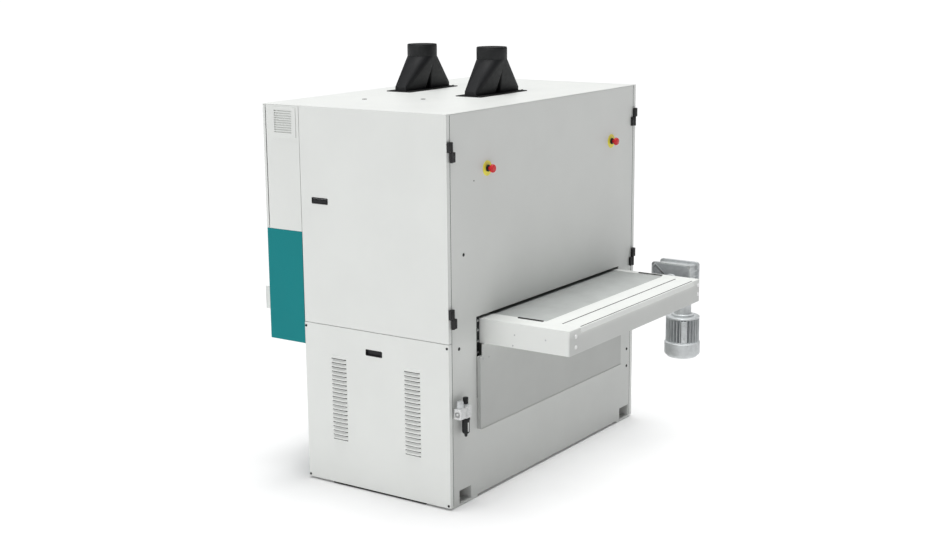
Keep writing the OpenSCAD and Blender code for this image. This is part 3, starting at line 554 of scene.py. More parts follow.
class SANDER_OT_shell(bpy.types.Operator):
    """Coats the panels, plates, doors and welded frame, and eases their folded edges"""
    bl_idname = "sander.shell"
    bl_label = "Shell"

    def execute(self, context):
        edge = context.scene.sander_sizes.edge
        for node in (
            "roof_panel", "left_door", "right_door",
            "left_base_panel", "right_base_panel", "control_cabinet",
            "left_cabinet_door", "right_cabinet_door",
        ):
            dress(node, finish("body"), edge)
        dress("outfeed_plate", finish("plate"), edge)
        dress("infeed_plate", finish("plate"), edge)
        dress("side_vents", finish("body"), 0.6)
        dress("side_cheeks", finish("cheeks"), edge)
        self.door_seals_and_vent_light()
        self.painted_gap_shade()
        dress("base_frame", finish("welded"), 1.5)
        dress("column_frame", finish("welded"))
        return {"FINISHED"}

    def door_seals_and_vent_light(self):
        """Pale strips: a seal behind each cabinet door, and behind each vent a pale backing that
        paints light into the vent slots where there would be shade.
        """
        mesh = bmesh.new()
        door_y, top = cad("left_cabinet_door")[0].y, cad("control_cabinet")[1].z
        door_strip = (908, 904, door_y - 9, door_y - 4.4, 1288, top - 4)
        vent_light_strip = (909, 906, 484, 596, top - 136, top - 24)
        for out in SIDES.values():
            for x0, x1, y0, y1, z0, z1 in (door_strip, vent_light_strip):
                low, high = sorted((out * x0, out * x1))
                block(mesh, (low, y0, z0), (high, y1, z1), 0.5, 1)
        piece("door_seals_and_vent_light", mesh, "frame", [finish("body")])

    def painted_gap_shade(self):
        """Dark strips of painted shade: one in the gap up each corner of the face, and one in the
        gap under each base panel.
        """
        mesh = bmesh.new()
        side_x = cad("base_frame")[1].x
        panel_half = 288
        for out in SIDES.values():
            x0, x1 = sorted((out * (side_x + 0.4), out * (side_x - 0.9)))
            block(mesh, (x0, FACE_Y - 0.5, 14), (x1, FACE_Y + 2, 1904), 0.3, 1)
            x0, x1 = sorted((out * (side_x + 0.5), out * (side_x + 20)))
            block(mesh, (x0, -panel_half, 0.4), (x1, panel_half, 9.2), 0.5, 1)
        piece("painted_gap_shade", mesh, "frame", [finish("painted_shade")])


# ---------- louvres and pulls of the base panels ----------


def louvre(mesh, out, face_x, y, z, width, height, rise):
    """A louvre pressed out of a panel. Its lower edge is open and it runs flush above."""
    rows, stations = 6, 12
    grid = []
    for i in range(stations + 1):
        across = i / stations
        swell = min(1.0, math.sin(math.pi * across) * 2.6)
        line = []
        for k in range(rows + 1):
            climb = k / rows
            bulge = rise * swell * math.cos(math.pi / 2 * climb)
            line.append(mesh.verts.new((
                face_x + out * (bulge + 0.05), y + width * (across - 0.5), z + height * climb,
            )))
        grid.append(line)
    for a, b in zip(grid, grid[1:]):
        for k in range(rows):
            mesh.faces.new((a[k], b[k], b[k + 1], a[k + 1]))


def flush_cup(mesh, out, face_x, y, z, size):
    """Bezel of a flush pull or latch that is clipped into a panel."""
    inner = rounded(size[0] - 5, size[1] - 5, 3)
    outer = rounded(size[0] + 3.4, size[1] + 3.4, 5)
    eased = rounded(size[0] + 2.2, size[1] + 2.2, 4.4)

    def at(outline, x):
        return [Vector((x, y + u, z + v)) for u, v in outline]

    loft(mesh, [
        at(outer, face_x), at(outer, face_x + out * 0.8), at(eased, face_x + out * 1.6),
        at(inner, face_x + out * 1.6), at(inner, face_x - out * 8),
    ], False, True)


class SANDER_OT_base_panels(bpy.types.Operator):
    """Presses the louvres, and fits the pulls and cap screws of the base panels"""
    bl_idname = "sander.base_panels"
    bl_label = "Base panels"

    columns = (-224, 228)  # middles of the two louvre columns, along the machine
    first, pitch = 240, 22  # height of the lowest slot, and spacing of the slots
    pull_y, pull_z, pull_size = 6, 720, (98, 28)
    corner_y, corner_z = (-432, 433), (22, 806)

    def execute(self, context):
        sizes = context.scene.sander_sizes
        for side, out in SIDES.items():
            face_x = cad(f"{side}_base_panel")[out > 0].x
            mesh = bmesh.new()
            for y in self.columns:
                for k in range(sizes.louvres):
                    foot = self.first + self.pitch * k
                    louvre(mesh, out, face_x, y, foot + 5, 100, 14, sizes.louvre_rise)
                    # painted shade: a near-black strip fills the slot below each louvre's open edge
                    # and stands a little proud
                    x0, x1 = sorted((face_x - out * 1.5, face_x + out * 0.4))
                    block(mesh, (x0, y - 46, foot - 1), (x1, y + 46, foot + 6), 0.2, 1, 1)
            piece(f"{side}_louvres", mesh, "frame", [finish("body"), finish("painted_shade")],
                  thin=True)
            mesh = bmesh.new()
            flush_cup(mesh, out, face_x, self.pull_y, self.pull_z, self.pull_size)
            block(mesh, (face_x - out * 6 - 2, -28, 724), (face_x - out * 6 + 2, 40, 731), 1.5)
            piece(f"{side}_base_pull", mesh, "frame", [finish("abs")])
        mesh = bmesh.new()
        for out in SIDES.values():
            for y in self.corner_y:
                for z in self.corner_z:
                    cap_screw(mesh, "X", out, (out * 912, y, z), 6.0, 3.0)
        piece("base_panel_screws", mesh, "frame", [finish("blackened")],
              ["panel_screws"])
        return {"FINISHED"}


# ---------- side doors: latches, hinges, plugs ----------


class SANDER_OT_latches(bpy.types.Operator):
    """Fits the flush latches of the side doors"""
    bl_idname = "sander.latches"
    bl_label = "Latches"

    def execute(self, context):
        for side, out in SIDES.items():
            lo, hi = cad(f"{side}_door_latch")
            face_x = out * 912
            y, z = (lo.y + hi.y) / 2, 1448
            mesh = bmesh.new()
            flush_cup(mesh, out, face_x, y, z, (98, 28))
            piece(f"{side}_latch_bezel", mesh, f"{side}_side_door", [finish("abs")])
            mesh = bmesh.new()
            inner, outer = sorted((face_x - out * 6, face_x + out * 0.6))
            block(mesh, (inner, y - 44, z - 11), (outer, y + 44, z + 7), 2.0, 3)
            for k in range(5):
                block(mesh, (min(face_x, face_x + out * 1.2), y - 30 + 5 * k, z - 8),
                      (max(face_x, face_x + out * 1.2), y - 28 + 5 * k, z + 4), 0.4, 1)
            turned(mesh, "X", (0, y + 22, z - 2), [
                (7, face_x - out * 2), (7, face_x + out * 1.4), (6, face_x + out * 1.8),
                (2, face_x + out * 1.8), (1.6, face_x + out * 0.4),
            ], 24)
            turned(mesh, "Y", (out * 904, 0, 1456), [(3, lo.y), (3, hi.y)], 16, 1)
            piece(f"{side}_latch_paddle", mesh, f"{side}_latch",
                  [finish("abs"), finish("zinc")], [f"{side}_door_latch"])
        return {"FINISHED"}


def hinge_half(mesh, spine_x, spine_y, leaf_x, z0, z1, knuckle_r):
    """One half of a lift-off hinge: a leaf with two screws, and its knuckle."""
    lo_x, hi_x = sorted((spine_x, leaf_x))
    block(mesh, (lo_x, spine_y - 5, z0), (hi_x, FACE_Y, z1), 1.6, 3)
    turned(mesh, "Z", (spine_x, spine_y, 0), [
        (knuckle_r - 1, z0), (knuckle_r, z0 + 1), (knuckle_r, z1 - 1), (knuckle_r - 1, z1),
    ], 32)
    for z in (z0 + 12, z1 - 12):
        mid = leaf_x + (spine_x - leaf_x) * 0.38
        turned(mesh, "Y", (mid, 0, z), [
            (5.2, spine_y - 4), (5.2, spine_y - 5.6), (4.4, spine_y - 6), (2.4, spine_y - 6),
            (2.2, spine_y - 4.6),
        ], 20)


class SANDER_OT_hinges(bpy.types.Operator):
    """Fits the lift-off hinges of the side doors"""
    bl_idname = "sander.hinges"
    bl_label = "Hinges"

    spine = (886, -451)  # hinge axis, out to the side and in front of the face
    heights = ((897, 993), (1686, 1782))
    fixed_leaf, door_leaf = 858, 911  # far edge of each leaf, out to the side
    knuckle_r = 8.6

    def execute(self, context):
        fixed = bmesh.new()
        for side, out in SIDES.items():
            swinging = bmesh.new()
            spine_x, spine_y = out * self.spine[0], self.spine[1]
            for low, high in self.heights:
                seam = (low + high) / 2
                hinge_half(fixed, spine_x, spine_y, out * self.fixed_leaf, low, seam - 0.5,
                           self.knuckle_r)
                turned(fixed, "Z", (spine_x, spine_y, 0), [(5, seam - 1), (5, high - 4)], 20)
                hinge_half(swinging, spine_x, spine_y, out * self.door_leaf, seam + 0.3, high,
                           self.knuckle_r)
            piece(f"{side}_hinge_halves", swinging, f"{side}_side_door", [finish("hinge")],
                  [f"{side}_door_hinges"])
        piece("fixed_hinge_halves", fixed, "frame", [finish("hinge")],
              ["hinge_leaves"])
        return {"FINISHED"}


class SANDER_OT_plugs(bpy.types.Operator):
    """Fits the small hole plugs and screws of the outfeed face and the roof"""
    bl_idname = "sander.plugs"
    bl_label = "Plugs"

    plugs = ((-782, 1237), (-827, 788), (847, 414), (847, 314))
    roof_plugs = ((-503, 350), (-359, 88))

    def execute(self, context):
        mesh = bmesh.new()
        for x, z in self.plugs:
            turned(mesh, "Y", (x, 0, z), [
                (8, FACE_Y + 1), (8.5, FACE_Y - 0.6), (7.5, FACE_Y - 1.8),
                (4, FACE_Y - 2.2), (3.4, FACE_Y - 1.4),
            ], 24)
        turned(mesh, "Y", (-690, 0, 1578), [
            (3, FACE_Y + 1), (3, FACE_Y - 1), (1.2, FACE_Y - 1.4),
        ], 16)
        piece("face_plugs", mesh, "frame", [finish("abs")])
        mesh = bmesh.new()
        for x, y in self.roof_plugs:
            turned(mesh, "Z", (x, y, 0), [(13, 1909), (13, 1911), (10, 1912), (3, 1911.4)], 24)
        piece("roof_plugs", mesh, "frame", [finish("abs")])
        return {"FINISHED"}


# ---------- dust hoods ----------


def hood_lobe(mesh, foot, out, wall=0):
    """Half of a hood: flat faces from half of the round neck down to half of the long base."""
    lip, neck_base, neck_r = 24, 180, 79 - wall
    x_in, x_out, half = 22 + wall, 203 - wall, 37 - wall
    mid = (x_in + x_out) / 2
    points = [
        (x + mid, y, z) for z in (4, lip) for x, y in rounded(x_out - x_in, 2 * half, 7)
    ]
    for k in range(41):
        a = math.radians(-100 + 5 * k)
        points.append((neck_r * math.cos(a), neck_r * math.sin(a), neck_base))
    corners = [mesh.verts.new(foot + Vector((out * x, y, z))) for x, y, z in points]
    hull = bmesh.ops.convex_hull(mesh, input=corners)
    spare = [g for g in hull["geom_interior"] + hull["geom_unused"]
             if isinstance(g, bmesh.types.BMVert)]
    bmesh.ops.delete(mesh, geom=list(set(spare)), context="VERTS")
    skin = [g for g in hull["geom"] if isinstance(g, bmesh.types.BMFace) and g.is_valid]
    caps = [f for f in skin if all(abs(v.co.z - foot.z - neck_base) < 0.01 for v in f.verts)]
    bmesh.ops.delete(mesh, geom=caps, context="FACES")


class SANDER_OT_dust_hoods(bpy.types.Operator):
    """Moulds the two dust hoods with their hose necks"""
    bl_idname = "sander.dust_hoods"
    bl_label = "Dust hoods"

    neck_base, neck_r, wall = 180, 80, 4

    def execute(self, context):
        for end in ENDS:
            lo, hi = cad(f"{end}_dust_hood")
            foot = Vector(((lo.x + hi.x) / 2, (lo.y + hi.y) / 2, lo.z))
            size, top = hi - lo, hi.z - lo.z
            mesh = bmesh.new()
            plate(mesh, "Z", foot, (size.x, size.y), (foot.z, foot.z + 4), 8, 0.8, 1)
            for out in (-1, 1):
                hood_lobe(mesh, foot, out)
                for x in (out * 216, out * 110):
                    for y in (-50, 50):
                        cap_screw(mesh, "Z", 1, foot + Vector((x, y, 4)), 5, 3)
            block(mesh, foot + Vector((-30, -18, 4)), foot + Vector((30, 18, 158)), 3, 2, 1)
            base, r = self.neck_base, self.neck_r
            turned(mesh, "Z", foot, [
                (r - 6, base - 6), (r - 1.4, base - 1), (r, base + 1),
                (r, top - 9), (r - 0.8, top - 8), (r - 0.8, top - 2), (r - 1.6, top - 0.5),
                (r - 2.6, top), (r - self.wall, top), (r - self.wall - 0.6, top - 1),
            ], 72)
            # painted shade: the inside of the neck, closed by a cone below, is the near-black shade
            # finish
            turned(mesh, "Z", foot, [
                (r - self.wall - 0.5, top - 0.6), (r - self.wall - 0.5, base - 10),
                (r - 20, base - 40),
            ], 72, 1)
            piece(f"{end}_hood", mesh, "frame", [finish("abs"), finish("painted_shade")],
                  [f"{end}_dust_hood"])
        return {"FINISHED"}


# ---------- emergency stops ----------


class SANDER_OT_stops(bpy.types.Operator):
    """Fits the emergency stop buttons and their yellow discs"""
    bl_idname = "sander.stops"
    bl_label = "Emergency stops"

    buttons = (
        ("outfeed_left_estop", "estop_outfeed_l", -1),
        ("outfeed_right_estop", "estop_outfeed_r", -1),
        ("infeed_estop", "estop_infeed", 1),
    )

    def execute(self, context):
        discs = bmesh.new()
        disc_r = (cad("estop_discs")[1].z - middle("outfeed_left_estop").z)
        for node, body, way in self.buttons:
            lo, hi = cad(node)
            at = (lo + hi) / 2
            face = hi.y - 42 if way > 0 else lo.y + 42
            seat = (at.x, face, at.z)
            turned(discs, "Y", seat, [
                (disc_r, 0), (disc_r, way * 1.8), (disc_r - 1, way * 2.8), (28, way * 3),
                (16, way * 3),
            ], 64)
            turned(discs, "Y", seat, [
                (16.5, way * 2), (16.5, way * 9), (15.5, way * 11), (14, way * 12),
                (9, way * 12), (8.6, way * 10),
            ], 48, 1)
            mesh = bmesh.new()
            turned(mesh, "Y", seat, [
                (8, way * 7.5), (8, way * 19), (12, way * 21), (17, way * 24),
                (19.4, way * 26), (20, way * 29), (20, way * 34), (19.2, way * 38),
                (17, way * 40.6), (12, way * 41.6), (5, way * 42), (0.5, way * 42),
            ], 56)
            for k in range(3):
                a = math.tau * (k / 3 + 0.08)
                arc = []
                for radius, height in ((8.5, 41.6), (12.5, 41.3), (12.5, 42.0), (8.5, 42.0)):
                    arc.append([
                        ring((radius, way * height), "Y", seat, a + math.radians(70) * s / 8)
                        for s in range(9)
                    ])
                for p, q in zip(arc, arc[1:] + arc[:1]):
                    first, second = ([mesh.verts.new(v) for v in line] for line in (p, q))
                    for s in range(8):
                        mesh.faces.new((first[s], first[s + 1], second[s + 1], second[s]))
            piece(f"{node}_button", mesh, body, [finish("red")], [node])
        piece("stop_discs", discs, "frame", [finish("yellow"), finish("abs")],
              ["estop_discs"])
        return {"FINISHED"}


# ---------- air service unit ----------


class SANDER_OT_air_unit(bpy.types.Operator):
    """Builds the compressed-air filter and regulator with its knob"""
    bl_idname = "sander.air_unit"
    bl_label = "Air unit"

    def execute(self, context):
        lo, hi = cad("air_unit")
        y = lo.y + 21
        left, bowl_x, pipe_x = lo.x, -818, -865
        z0, z1 = 452, 510
        mesh = bmesh.new()
        block(mesh, (left, y - 20, z0 + 4), (left + 46, y + 20, z1 - 2), 3.5, 3)
        block(mesh, (left + 48, y - 20.5, z0), (hi.x, y + 20.5, z1), 5, 3)
        block(mesh, (left + 40, y - 14, z0 + 10), (left + 56, y + 14, z1 - 10), 2)
        block(mesh, (left + 13, y + 18, z0 + 10), (left + 83, FACE_Y - 0.1, z1 - 10), 2)
        for z in (z0 + 14, z1 - 14):
            cap_screw(mesh, "Y", -1, (left + 58, y - 20, z), 3.6, 2.4, True, 1)
        turned(mesh, "X", (0, y, 481), [
            (14, left + 3), (14, left + 0.4), (13, left), (8, left), (7.4, left + 1),
            (7, left + 3), (2, left + 3),
        ], 40)
        turned(mesh, "Z", (pipe_x, y, 0), [
            (15.5, z1 - 3), (17, z1), (17, z1 + 29), (15.5, z1 + 32), (11, z1 + 33),
            (5, z1 + 33), (4.4, z1 + 31),
        ], 48, 1)
        turned(mesh, "Z", (bowl_x, y, 0), [
            (16, z1 - 2), (16.4, z1 + 3), (14.4, z1 + 9.6), (8, z1 + 10), (8, z1 + 31),
        ], 40, 1)
        turned(mesh, "Z", (bowl_x, y, 0), [
            (18, z0 + 1), (20, z0 - 2), (20, z0 - 14), (18.6, z0 - 16), (18.6, z0 - 70),
            (17, z0 - 76), (12, z0 - 80), (8, z0 - 80), (7.4, z0 - 92), (5, z0 - 96),
            (1, z0 - 97),
        ], 48, 2)
        for k in range(12):
            a = math.tau * k / 12
            spot = Vector((bowl_x + 19.6 * math.cos(a), y + 19.6 * math.sin(a), 0))
            block(mesh, spot + Vector((-1, -1, z0 - 13)), spot + Vector((1, 1, z0 - 3)), 0.4,
                  1, 2)
        block(mesh, (bowl_x - 8, y - 20, z0 - 68), (bowl_x - 2, y - 16, z0 - 22), 1, 2, 3)
        piece("air_service_unit", mesh, "frame",
              [finish("speckled"), finish("cast"), finish("abs"), finish("welded")],
              ["air_unit"])
        mesh = bmesh.new()
        low, high = z1 + 11, z1 + 43
        loops = []
        for height, radius in (
            (low, 11), (low + 1.5, 12.6), (low + 17, 12.6), (low + 18, 13.4), (high - 4, 13.4),
            (high - 1, 12), (high, 9.6),
        ):
            loops.append([
                ring((radius * (1 - 0.045 * (k % 4 == 0) * (low + 1 < height < high - 2)),
                      height), "Z", (bowl_x, y, 0), math.tau * k / 96)
                for k in range(96)
            ])
        loft(mesh, loops, True, True)
        piece("air_knob", mesh, "regulator_knob", [finish("abs")],
              ["air_regulator_knob"])
        return {"FINISHED"}


# ---------- conveyor table ----------


class SANDER_OT_table(bpy.types.Operator):
    """Dresses the conveyor table, and fits its screws, stops and lip strips"""
    bl_idname = "sander.table"
    bl_label = "Conveyor table"

    end_screws = ((-586, 866), (-586, 814), (715, 868), (715, 820))
    rail_screws = ((-637, 843), (-810, 841), (-627, 789))
    guide_y = (-640, -598)

    def execute(self, context):
        edge = context.scene.sander_sizes.edge
        dress("table_frame", finish("body"), edge * 0.7)
        dress("end_covers", finish("cover"), edge * 0.7)
        dress("table_aprons", finish("apron"), edge * 0.7)
        dress("nose_plates", finish("body"), 0.6)
        dress("feed_belt", finish("belt"))
        for node in ("feed_drive_roller", "feed_idler_roller"):
            dress(node, finish("ground"))
        r = context.scene.sander_sizes.screw_r
        end = cad("end_covers")
        side = cad("table_frame")
        top = side[1].z
        mesh, plugs = bmesh.new(), bmesh.new()
        for way, face in ((-1, end[0].y), (1, end[1].y)):
            for x, z in self.end_screws:
                cap_screw(plugs, "Y", way, (x, face, z), r + 5, 4, False)
        for y, z in self.rail_screws:
            for way, face in ((-1, side[0].x), (1, side[1].x)):
                cap_screw(mesh, "X", way, (face, y, z), r - 1, 2)
                cap_screw(mesh, "X", way, (face, -y, z), r - 1, 2)
        aprons = cad("table_aprons")
        for x in (aprons[0].x + 24, aprons[0].x + 74):
            cap_screw(mesh, "Y", -1, (x, aprons[0].y, 702), r - 1, 2)
            cap_screw(mesh, "Y", 1, (x, aprons[1].y, 702), r - 1, 2)
        piece("table_screws", mesh, "table", [finish("zinc")])
        piece("end_plugs", plugs, "table", [finish("nylon")])
        mesh = bmesh.new()
        rail_x = cad("feed_belt")[0].x - 9
        for y in self.guide_y:
            for out in (-1, 1):
                turned(mesh, "Z", (rail_x, out * y, 0), [
                    (7, top - 1), (7, top + 1.2), (5.5, top + 2.4), (1, top + 2.6),
                ], 24)
        piece("guide_studs", mesh, "table", [finish("zinc")])
        self.fit_strips()
        return {"FINISHED"}


    def fit_strips(self):
        """Dark strips of painted shade, in the black rubber finish, in the gaps round the nose
        plates and in the slots beside the belt, and the rim of each apron in the apron's
        painted-shade finish.
        """
        end, nose, side = cad("end_covers"), cad("feed_belt"), cad("table_frame")
        aprons, top = cad("table_aprons"), side[1].z
        strips, rims = bmesh.new(), bmesh.new()
        for way in (-1, 1):
            reach = end[1].y
            for low, high in ((reach - 112, reach - 104), (reach - 13, reach - 7)):
                y0, y1 = sorted((way * low, way * high))
                block(strips, (nose[0].x + 1, y0, top - 3), (nose[1].x - 27, y1, top + 0.6), 0.3, 1)
            y0, y1 = sorted((way * (reach - 350), way * (reach - 210)))
            for x in (nose[0].x - 17.5, nose[1].x + 6.5):
                block(strips, (x - 1, y0 - 1, top - 3), (x + 12, y1 + 1, top + 4), 0.8, 1)
            y0, y1 = sorted((way * (aprons[1].y - 3), way * aprons[1].y))
            block(rims, (side[0].x - 22, y0, 716), (side[0].x + 1, y1, end[0].z), 0.5)
            y0, y1 = sorted((way * aprons[1].y, way * (aprons[1].y + 4)))
            block(rims, (aprons[0].x, y0, aprons[0].z), (aprons[1].x, y1, aprons[0].z + 3), 0.8)
        piece("nose_gap_shade_strips", strips, "table", [finish("rubber")])
        piece("apron_rims", rims, "table", [finish("apron")])
        guides = bmesh.new()
        x0, x1 = aprons[0].x + 0.5, side[0].x - 2
        for way in (-1, 1):
            y0, y1 = sorted((way * 420, way * 436))
            block(guides, (x0, y0, 505), (x1, y1, 912), 1.5, 2)
            for z in (735, 790, 845, 893):
                cap_screw(guides, "Y", way, ((x0 + x1) / 2, way * 436, z), 6, 4, True, 1)
        piece("slot_guides", guides, "frame", [finish("abs"), finish("zinc")])


# ---------- feed gearbox and motor ----------


def cooling_fins(mesh, centre, axis, inner, outer, levels, count, thickness, finish_index=0):
    """Straight cooling fins round a motor body."""
    for k in range(count):
        a = math.tau * (k + 0.5) / count
        half = thickness / 2
        loops = []
        for level, tip in (
            (levels[0], outer - 3), (levels[0] + 4, outer), (levels[1] - 4, outer),
            (levels[1], outer - 3),
        ):
            corners = []
            for radius, side in ((inner, -1), (tip, -0.7), (tip, 0.7), (inner, 1)):
                swing = math.atan2(side * half, radius)
                corners.append(ring((radius, level), axis, centre, a + swing))
            loops.append(corners)
        loft(mesh, loops, True, True, finish_index)


class SANDER_OT_feed_drive(bpy.types.Operator):
    """Builds the cast worm gearbox and the finned feed motor that hangs from it"""
    bl_idname = "sander.feed_drive"
    bl_label = "Feed drive"

    pad_turn = 212  # way that the flat pad of the motor looks, in degrees from +X

    def execute(self, context):
        lo, hi = cad("feed_gearbox")
        plate_x0, plate_x1 = hi.x - 115, hi.x
        roller = middle("feed_drive_roller")
        mid = Vector(((plate_x0 + plate_x1) / 2, roller.y - 1, roller.z))
        length, height = hi.y - lo.y, hi.z - middle("feed_drive_roller").z
        height *= 2
        mesh = bmesh.new()
        for x0, x1, face, way in (
            (plate_x0, plate_x0 + 13, plate_x0, -1), (plate_x1 - 13, plate_x1, plate_x1, 1),
        ):
            deep = face - way * 9
            outer = rounded(length, height, 18, 8)
            inner = rounded(length - 22, height - 22, 12, 8)
            soft = rounded(length - 2.4, height - 2.4, 17, 8)
            rim = rounded(length - 19, height - 19, 13, 8)

            def at(outline, level):
                return lift("X", [(mid.y + u, mid.z + v) for u, v in outline], level)

            back = x1 if way < 0 else x0
            loft(mesh, [
                at(soft, back), at(outer, back + way * 1.2), at(outer, face - way * 1.2),
                at(soft, face), at(rim, face), at(inner, deep),
            ], True, False)
            # painted shade: the recess floor takes the darker recess finish
            loft(mesh, [at(inner, deep + way * 0.1), at(inner, deep)], True, True, 3)
            web = []
            for y, z in ((-1, -1), (1, 1)):
                tip = mid + Vector((0, y * (length / 2 - 14), z * (height / 2 - 14)))
                web.append([
                    Vector((level, tip.y - y * reach, tip.z + z * reach))
                    for level, reach in ((deep, -6), (deep, 6), (face - way * 1.5, 4.6),
                                         (face - way * 1.5, -4.6))
                ])
            loft(mesh, web, True, True)
            for y in (-1, 1):
                for z in (-1, 1):
                    seat = (face - way * 0.2, mid.y + y * (length / 2 - 13),
                            mid.z + z * (height / 2 - 13))
                    turned(mesh, "X", (0, seat[1], seat[2]), [
                        (9, deep), (9, face - way * 0.6), (8.4, face),
                    ], 24)
                    cap_screw(mesh, "X", way, seat, 5.5, 2, True, 1)
            turned(mesh, "X", (0, roller.y, roller.z), [
                (46, deep), (44, face - way * 1), (42, face), (28, face), (27, face - way * 3),
                (21, face - way * 3),
            ], 64)
            turned(mesh, "X", (0, roller.y, roller.z), [
                (20, deep), (20, face - way * 3), (18.5, face - way * 2), (4, face - way * 2),
                (3.5, face - way * 4),
            ], 40, 2)
        block(mesh, (plate_x0 + 12, mid.y - 104, mid.z - 94), (plate_x1 - 12, mid.y + 104,
              mid.z + 94), 9, 3)
        for k in range(5):
            z = mid.z - 60 + 30 * k
            block(mesh, (plate_x0 + 12, mid.y - 110, z - 2.5), (plate_x1 - 12, mid.y + 110,
                  z + 2.5), 1.2, 2)
        motor = middle("feed_motor")
        turned(mesh, "Z", (motor.x, motor.y, 0), [
            (52, mid.z - 88), (48, mid.z - 102), (46, mid.z - 120), (46, mid.z - 170),
            (50, mid.z - 178), (62, mid.z - 181), (62, mid.z - 190),
        ], 64)
        for y in (-90, 90):
            for z in (-35, 35):
                turned(mesh, "X", (0, mid.y + y, mid.z + z), [
                    (9, cad("table_frame")[1].x), (9, plate_x0 + 1),
                ], 24, 1)
        piece("feed_gearbox_casting", mesh, "table",
              [finish("cast"), finish("zinc"), finish("ground"), finish("recess")],
              ["feed_gearbox"])
        self.build_motor(context)
        return {"FINISHED"}

    def build_motor(self, context):
        lo, hi = cad("feed_motor")
        at = Vector(((lo.x + hi.x) / 2, (lo.y + hi.y) / 2, 0))
        cowl_r, fin_r = (hi.x - lo.x) / 2, (hi.x - lo.x) / 2 - 5
        top, body_base, base = hi.z, hi.z - 145, lo.z
        mesh = bmesh.new()
        turned(mesh, "Z", at, [
            (fin_r - 20, top), (fin_r - 4, top - 0.5), (fin_r, top - 3), (fin_r, top - 9),
            (fin_r - 3, top - 12), (fin_r - 22, top - 14), (fin_r - 22, body_base + 2),
            (fin_r - 8, body_base), (fin_r - 8, body_base - 6),
        ], 72)
        cooling_fins(mesh, at, "Z", fin_r - 24, fin_r - 1, (body_base + 1, top - 11),
                     context.scene.sander_sizes.fins, 4.6)
        # painted shade: the core between the fins takes the darker fins finish
        turned(mesh, "Z", at, [
            (fin_r - 24, top - 13), (fin_r - 20, top - 14), (fin_r - 20, body_base + 3),
            (fin_r - 24, body_base + 2),
        ], 72, 3)
        old = set(mesh.verts)
        block(mesh, at + Vector((fin_r - 12, -16, body_base + 8)),
              at + Vector((fin_r + 3, 16, top - 18)), 3)
        for z in (body_base + 30, top - 40):
            cap_screw(mesh, "X", 1, (at.x + fin_r + 3, at.y, z), 6, 1.6, True, 1)
        pad = list(set(mesh.verts) - old)
        turn = Matrix.Rotation(math.radians(self.pad_turn), 3, "Z")
        bmesh.ops.rotate(mesh, cent=at, matrix=turn, verts=pad)
        turned(mesh, "Z", at, [
            (cowl_r - 3, body_base - 1), (cowl_r, body_base - 3), (cowl_r, base + 22),
            (cowl_r - 3, base + 15), (cowl_r - 17, base + 1), (cowl_r - 20, base),
            (cowl_r - 26, base), (cowl_r - 26, base + 3), (20, base + 3), (19, base),
            (2, base),
        ], 72)
        # painted shade: the slots of the fan cowl are filled with the near-black shade finish
        for ring_r in (34, 46, 58):
            for k in range(24):
                a = math.tau * k / 24
                slot = []
                for level in (base - 0.0, base + 3.4):
                    slot.append([
                        ring((ring_r + dr, level), "Z", at, a + da / ring_r)
                        for dr, da in ((-4, -2.4), (4, -2.4), (4, 2.4), (-4, 2.4))
                    ])
                loft(mesh, slot, True, True, 2)
        for k in range(4):
            a = math.tau * (k + 0.5) / 4
            spot = at + Vector((math.cos(a), math.sin(a), 0)) * (cowl_r - 0.4)
            turned(mesh, "Z", spot + Vector((0, 0, 0)), [
                (3.4, body_base - 14), (3.4, body_base - 8),
            ], 12, 1)
        piece("feed_motor_body", mesh, "table",
              [finish("cast"), finish("zinc"), finish("painted_shade"), finish("fins")],
              ["feed_motor"])


# ---------- control cabinet ----------


class SANDER_OT_console(bpy.types.Operator):
    """Builds the operator screen and the main switch on the cabinet doors"""
    bl_idname = "sander.console"
    bl_label = "Console"

    def execute(self, context):
        lo, hi = cad("operator_screen")
        mesh = bmesh.new()
        block(mesh, lo, (hi.x, hi.y - 5, hi.z), 6, 3)
        frame_size = (hi.x - lo.x - 8, hi.z - lo.z - 8)
        mid = (lo + hi) / 2
        inner = (frame_size[0] - 34, frame_size[1] - 36)
        steps = (
            (frame_size, 8, hi.y - 6), (frame_size, 8, hi.y - 2),
            ((frame_size[0] - 5, frame_size[1] - 5), 6, hi.y),
            ((inner[0] + 4, inner[1] + 4), 5, hi.y),
            (inner, 4, hi.y - 3),
        )
        loft(mesh, [
            lift("Y", [(mid.x + u, mid.z + v) for u, v in rounded(*size, radius)], level)
            for size, radius, level in steps
        ], True, False)
        glass = rounded(inner[0], inner[1], 4)
        loft(mesh, [
            lift("Y", [(mid.x + u, mid.z + v) for u, v in glass], level)
            for level in (hi.y - 6, hi.y - 3)
        ], True, True, 1)
        piece("operator_console", mesh, "cabinet_door_r", [finish("console"), finish("glass")],
              ["operator_screen"])
        lo, hi = cad("main_switch")
        mid = (lo + hi) / 2
        door_y = cad("left_cabinet_door")[1].y
        mesh = bmesh.new()
        turned(mesh, "Y", (mid.x, 0, mid.z), [
            (6, lo.y), (6, door_y + 1), (24, door_y + 3), (24, door_y + 7), (22, door_y + 9),
            (14, door_y + 10),
        ], 56)
        loops = []
        for level, half_w, half_h in (
            (door_y + 8, 6.5, 21), (hi.y - 5, 5.5, 20), (hi.y - 1.5, 4.6, 19), (hi.y, 3, 17),
        ):
            loops.append(lift("Y", [
                (mid.x + u, mid.z + v) for u, v in rounded(2 * half_w, 2 * half_h, half_w * 0.95)
            ], level))
        loft(mesh, loops, True, True)
        piece("switch_handle", mesh, "switch_knob", [finish("red")],
              ["main_switch"])
        mesh = bmesh.new()
        plate(mesh, "Y", (mid.x, 0, mid.z), (64, 64), (door_y, door_y + 1.6), 5, 0.5)
        piece("switch_plate", mesh, "cabinet_door_l", [finish("yellow")])
        return {"FINISHED"}


# ---------- sanding heads ----------


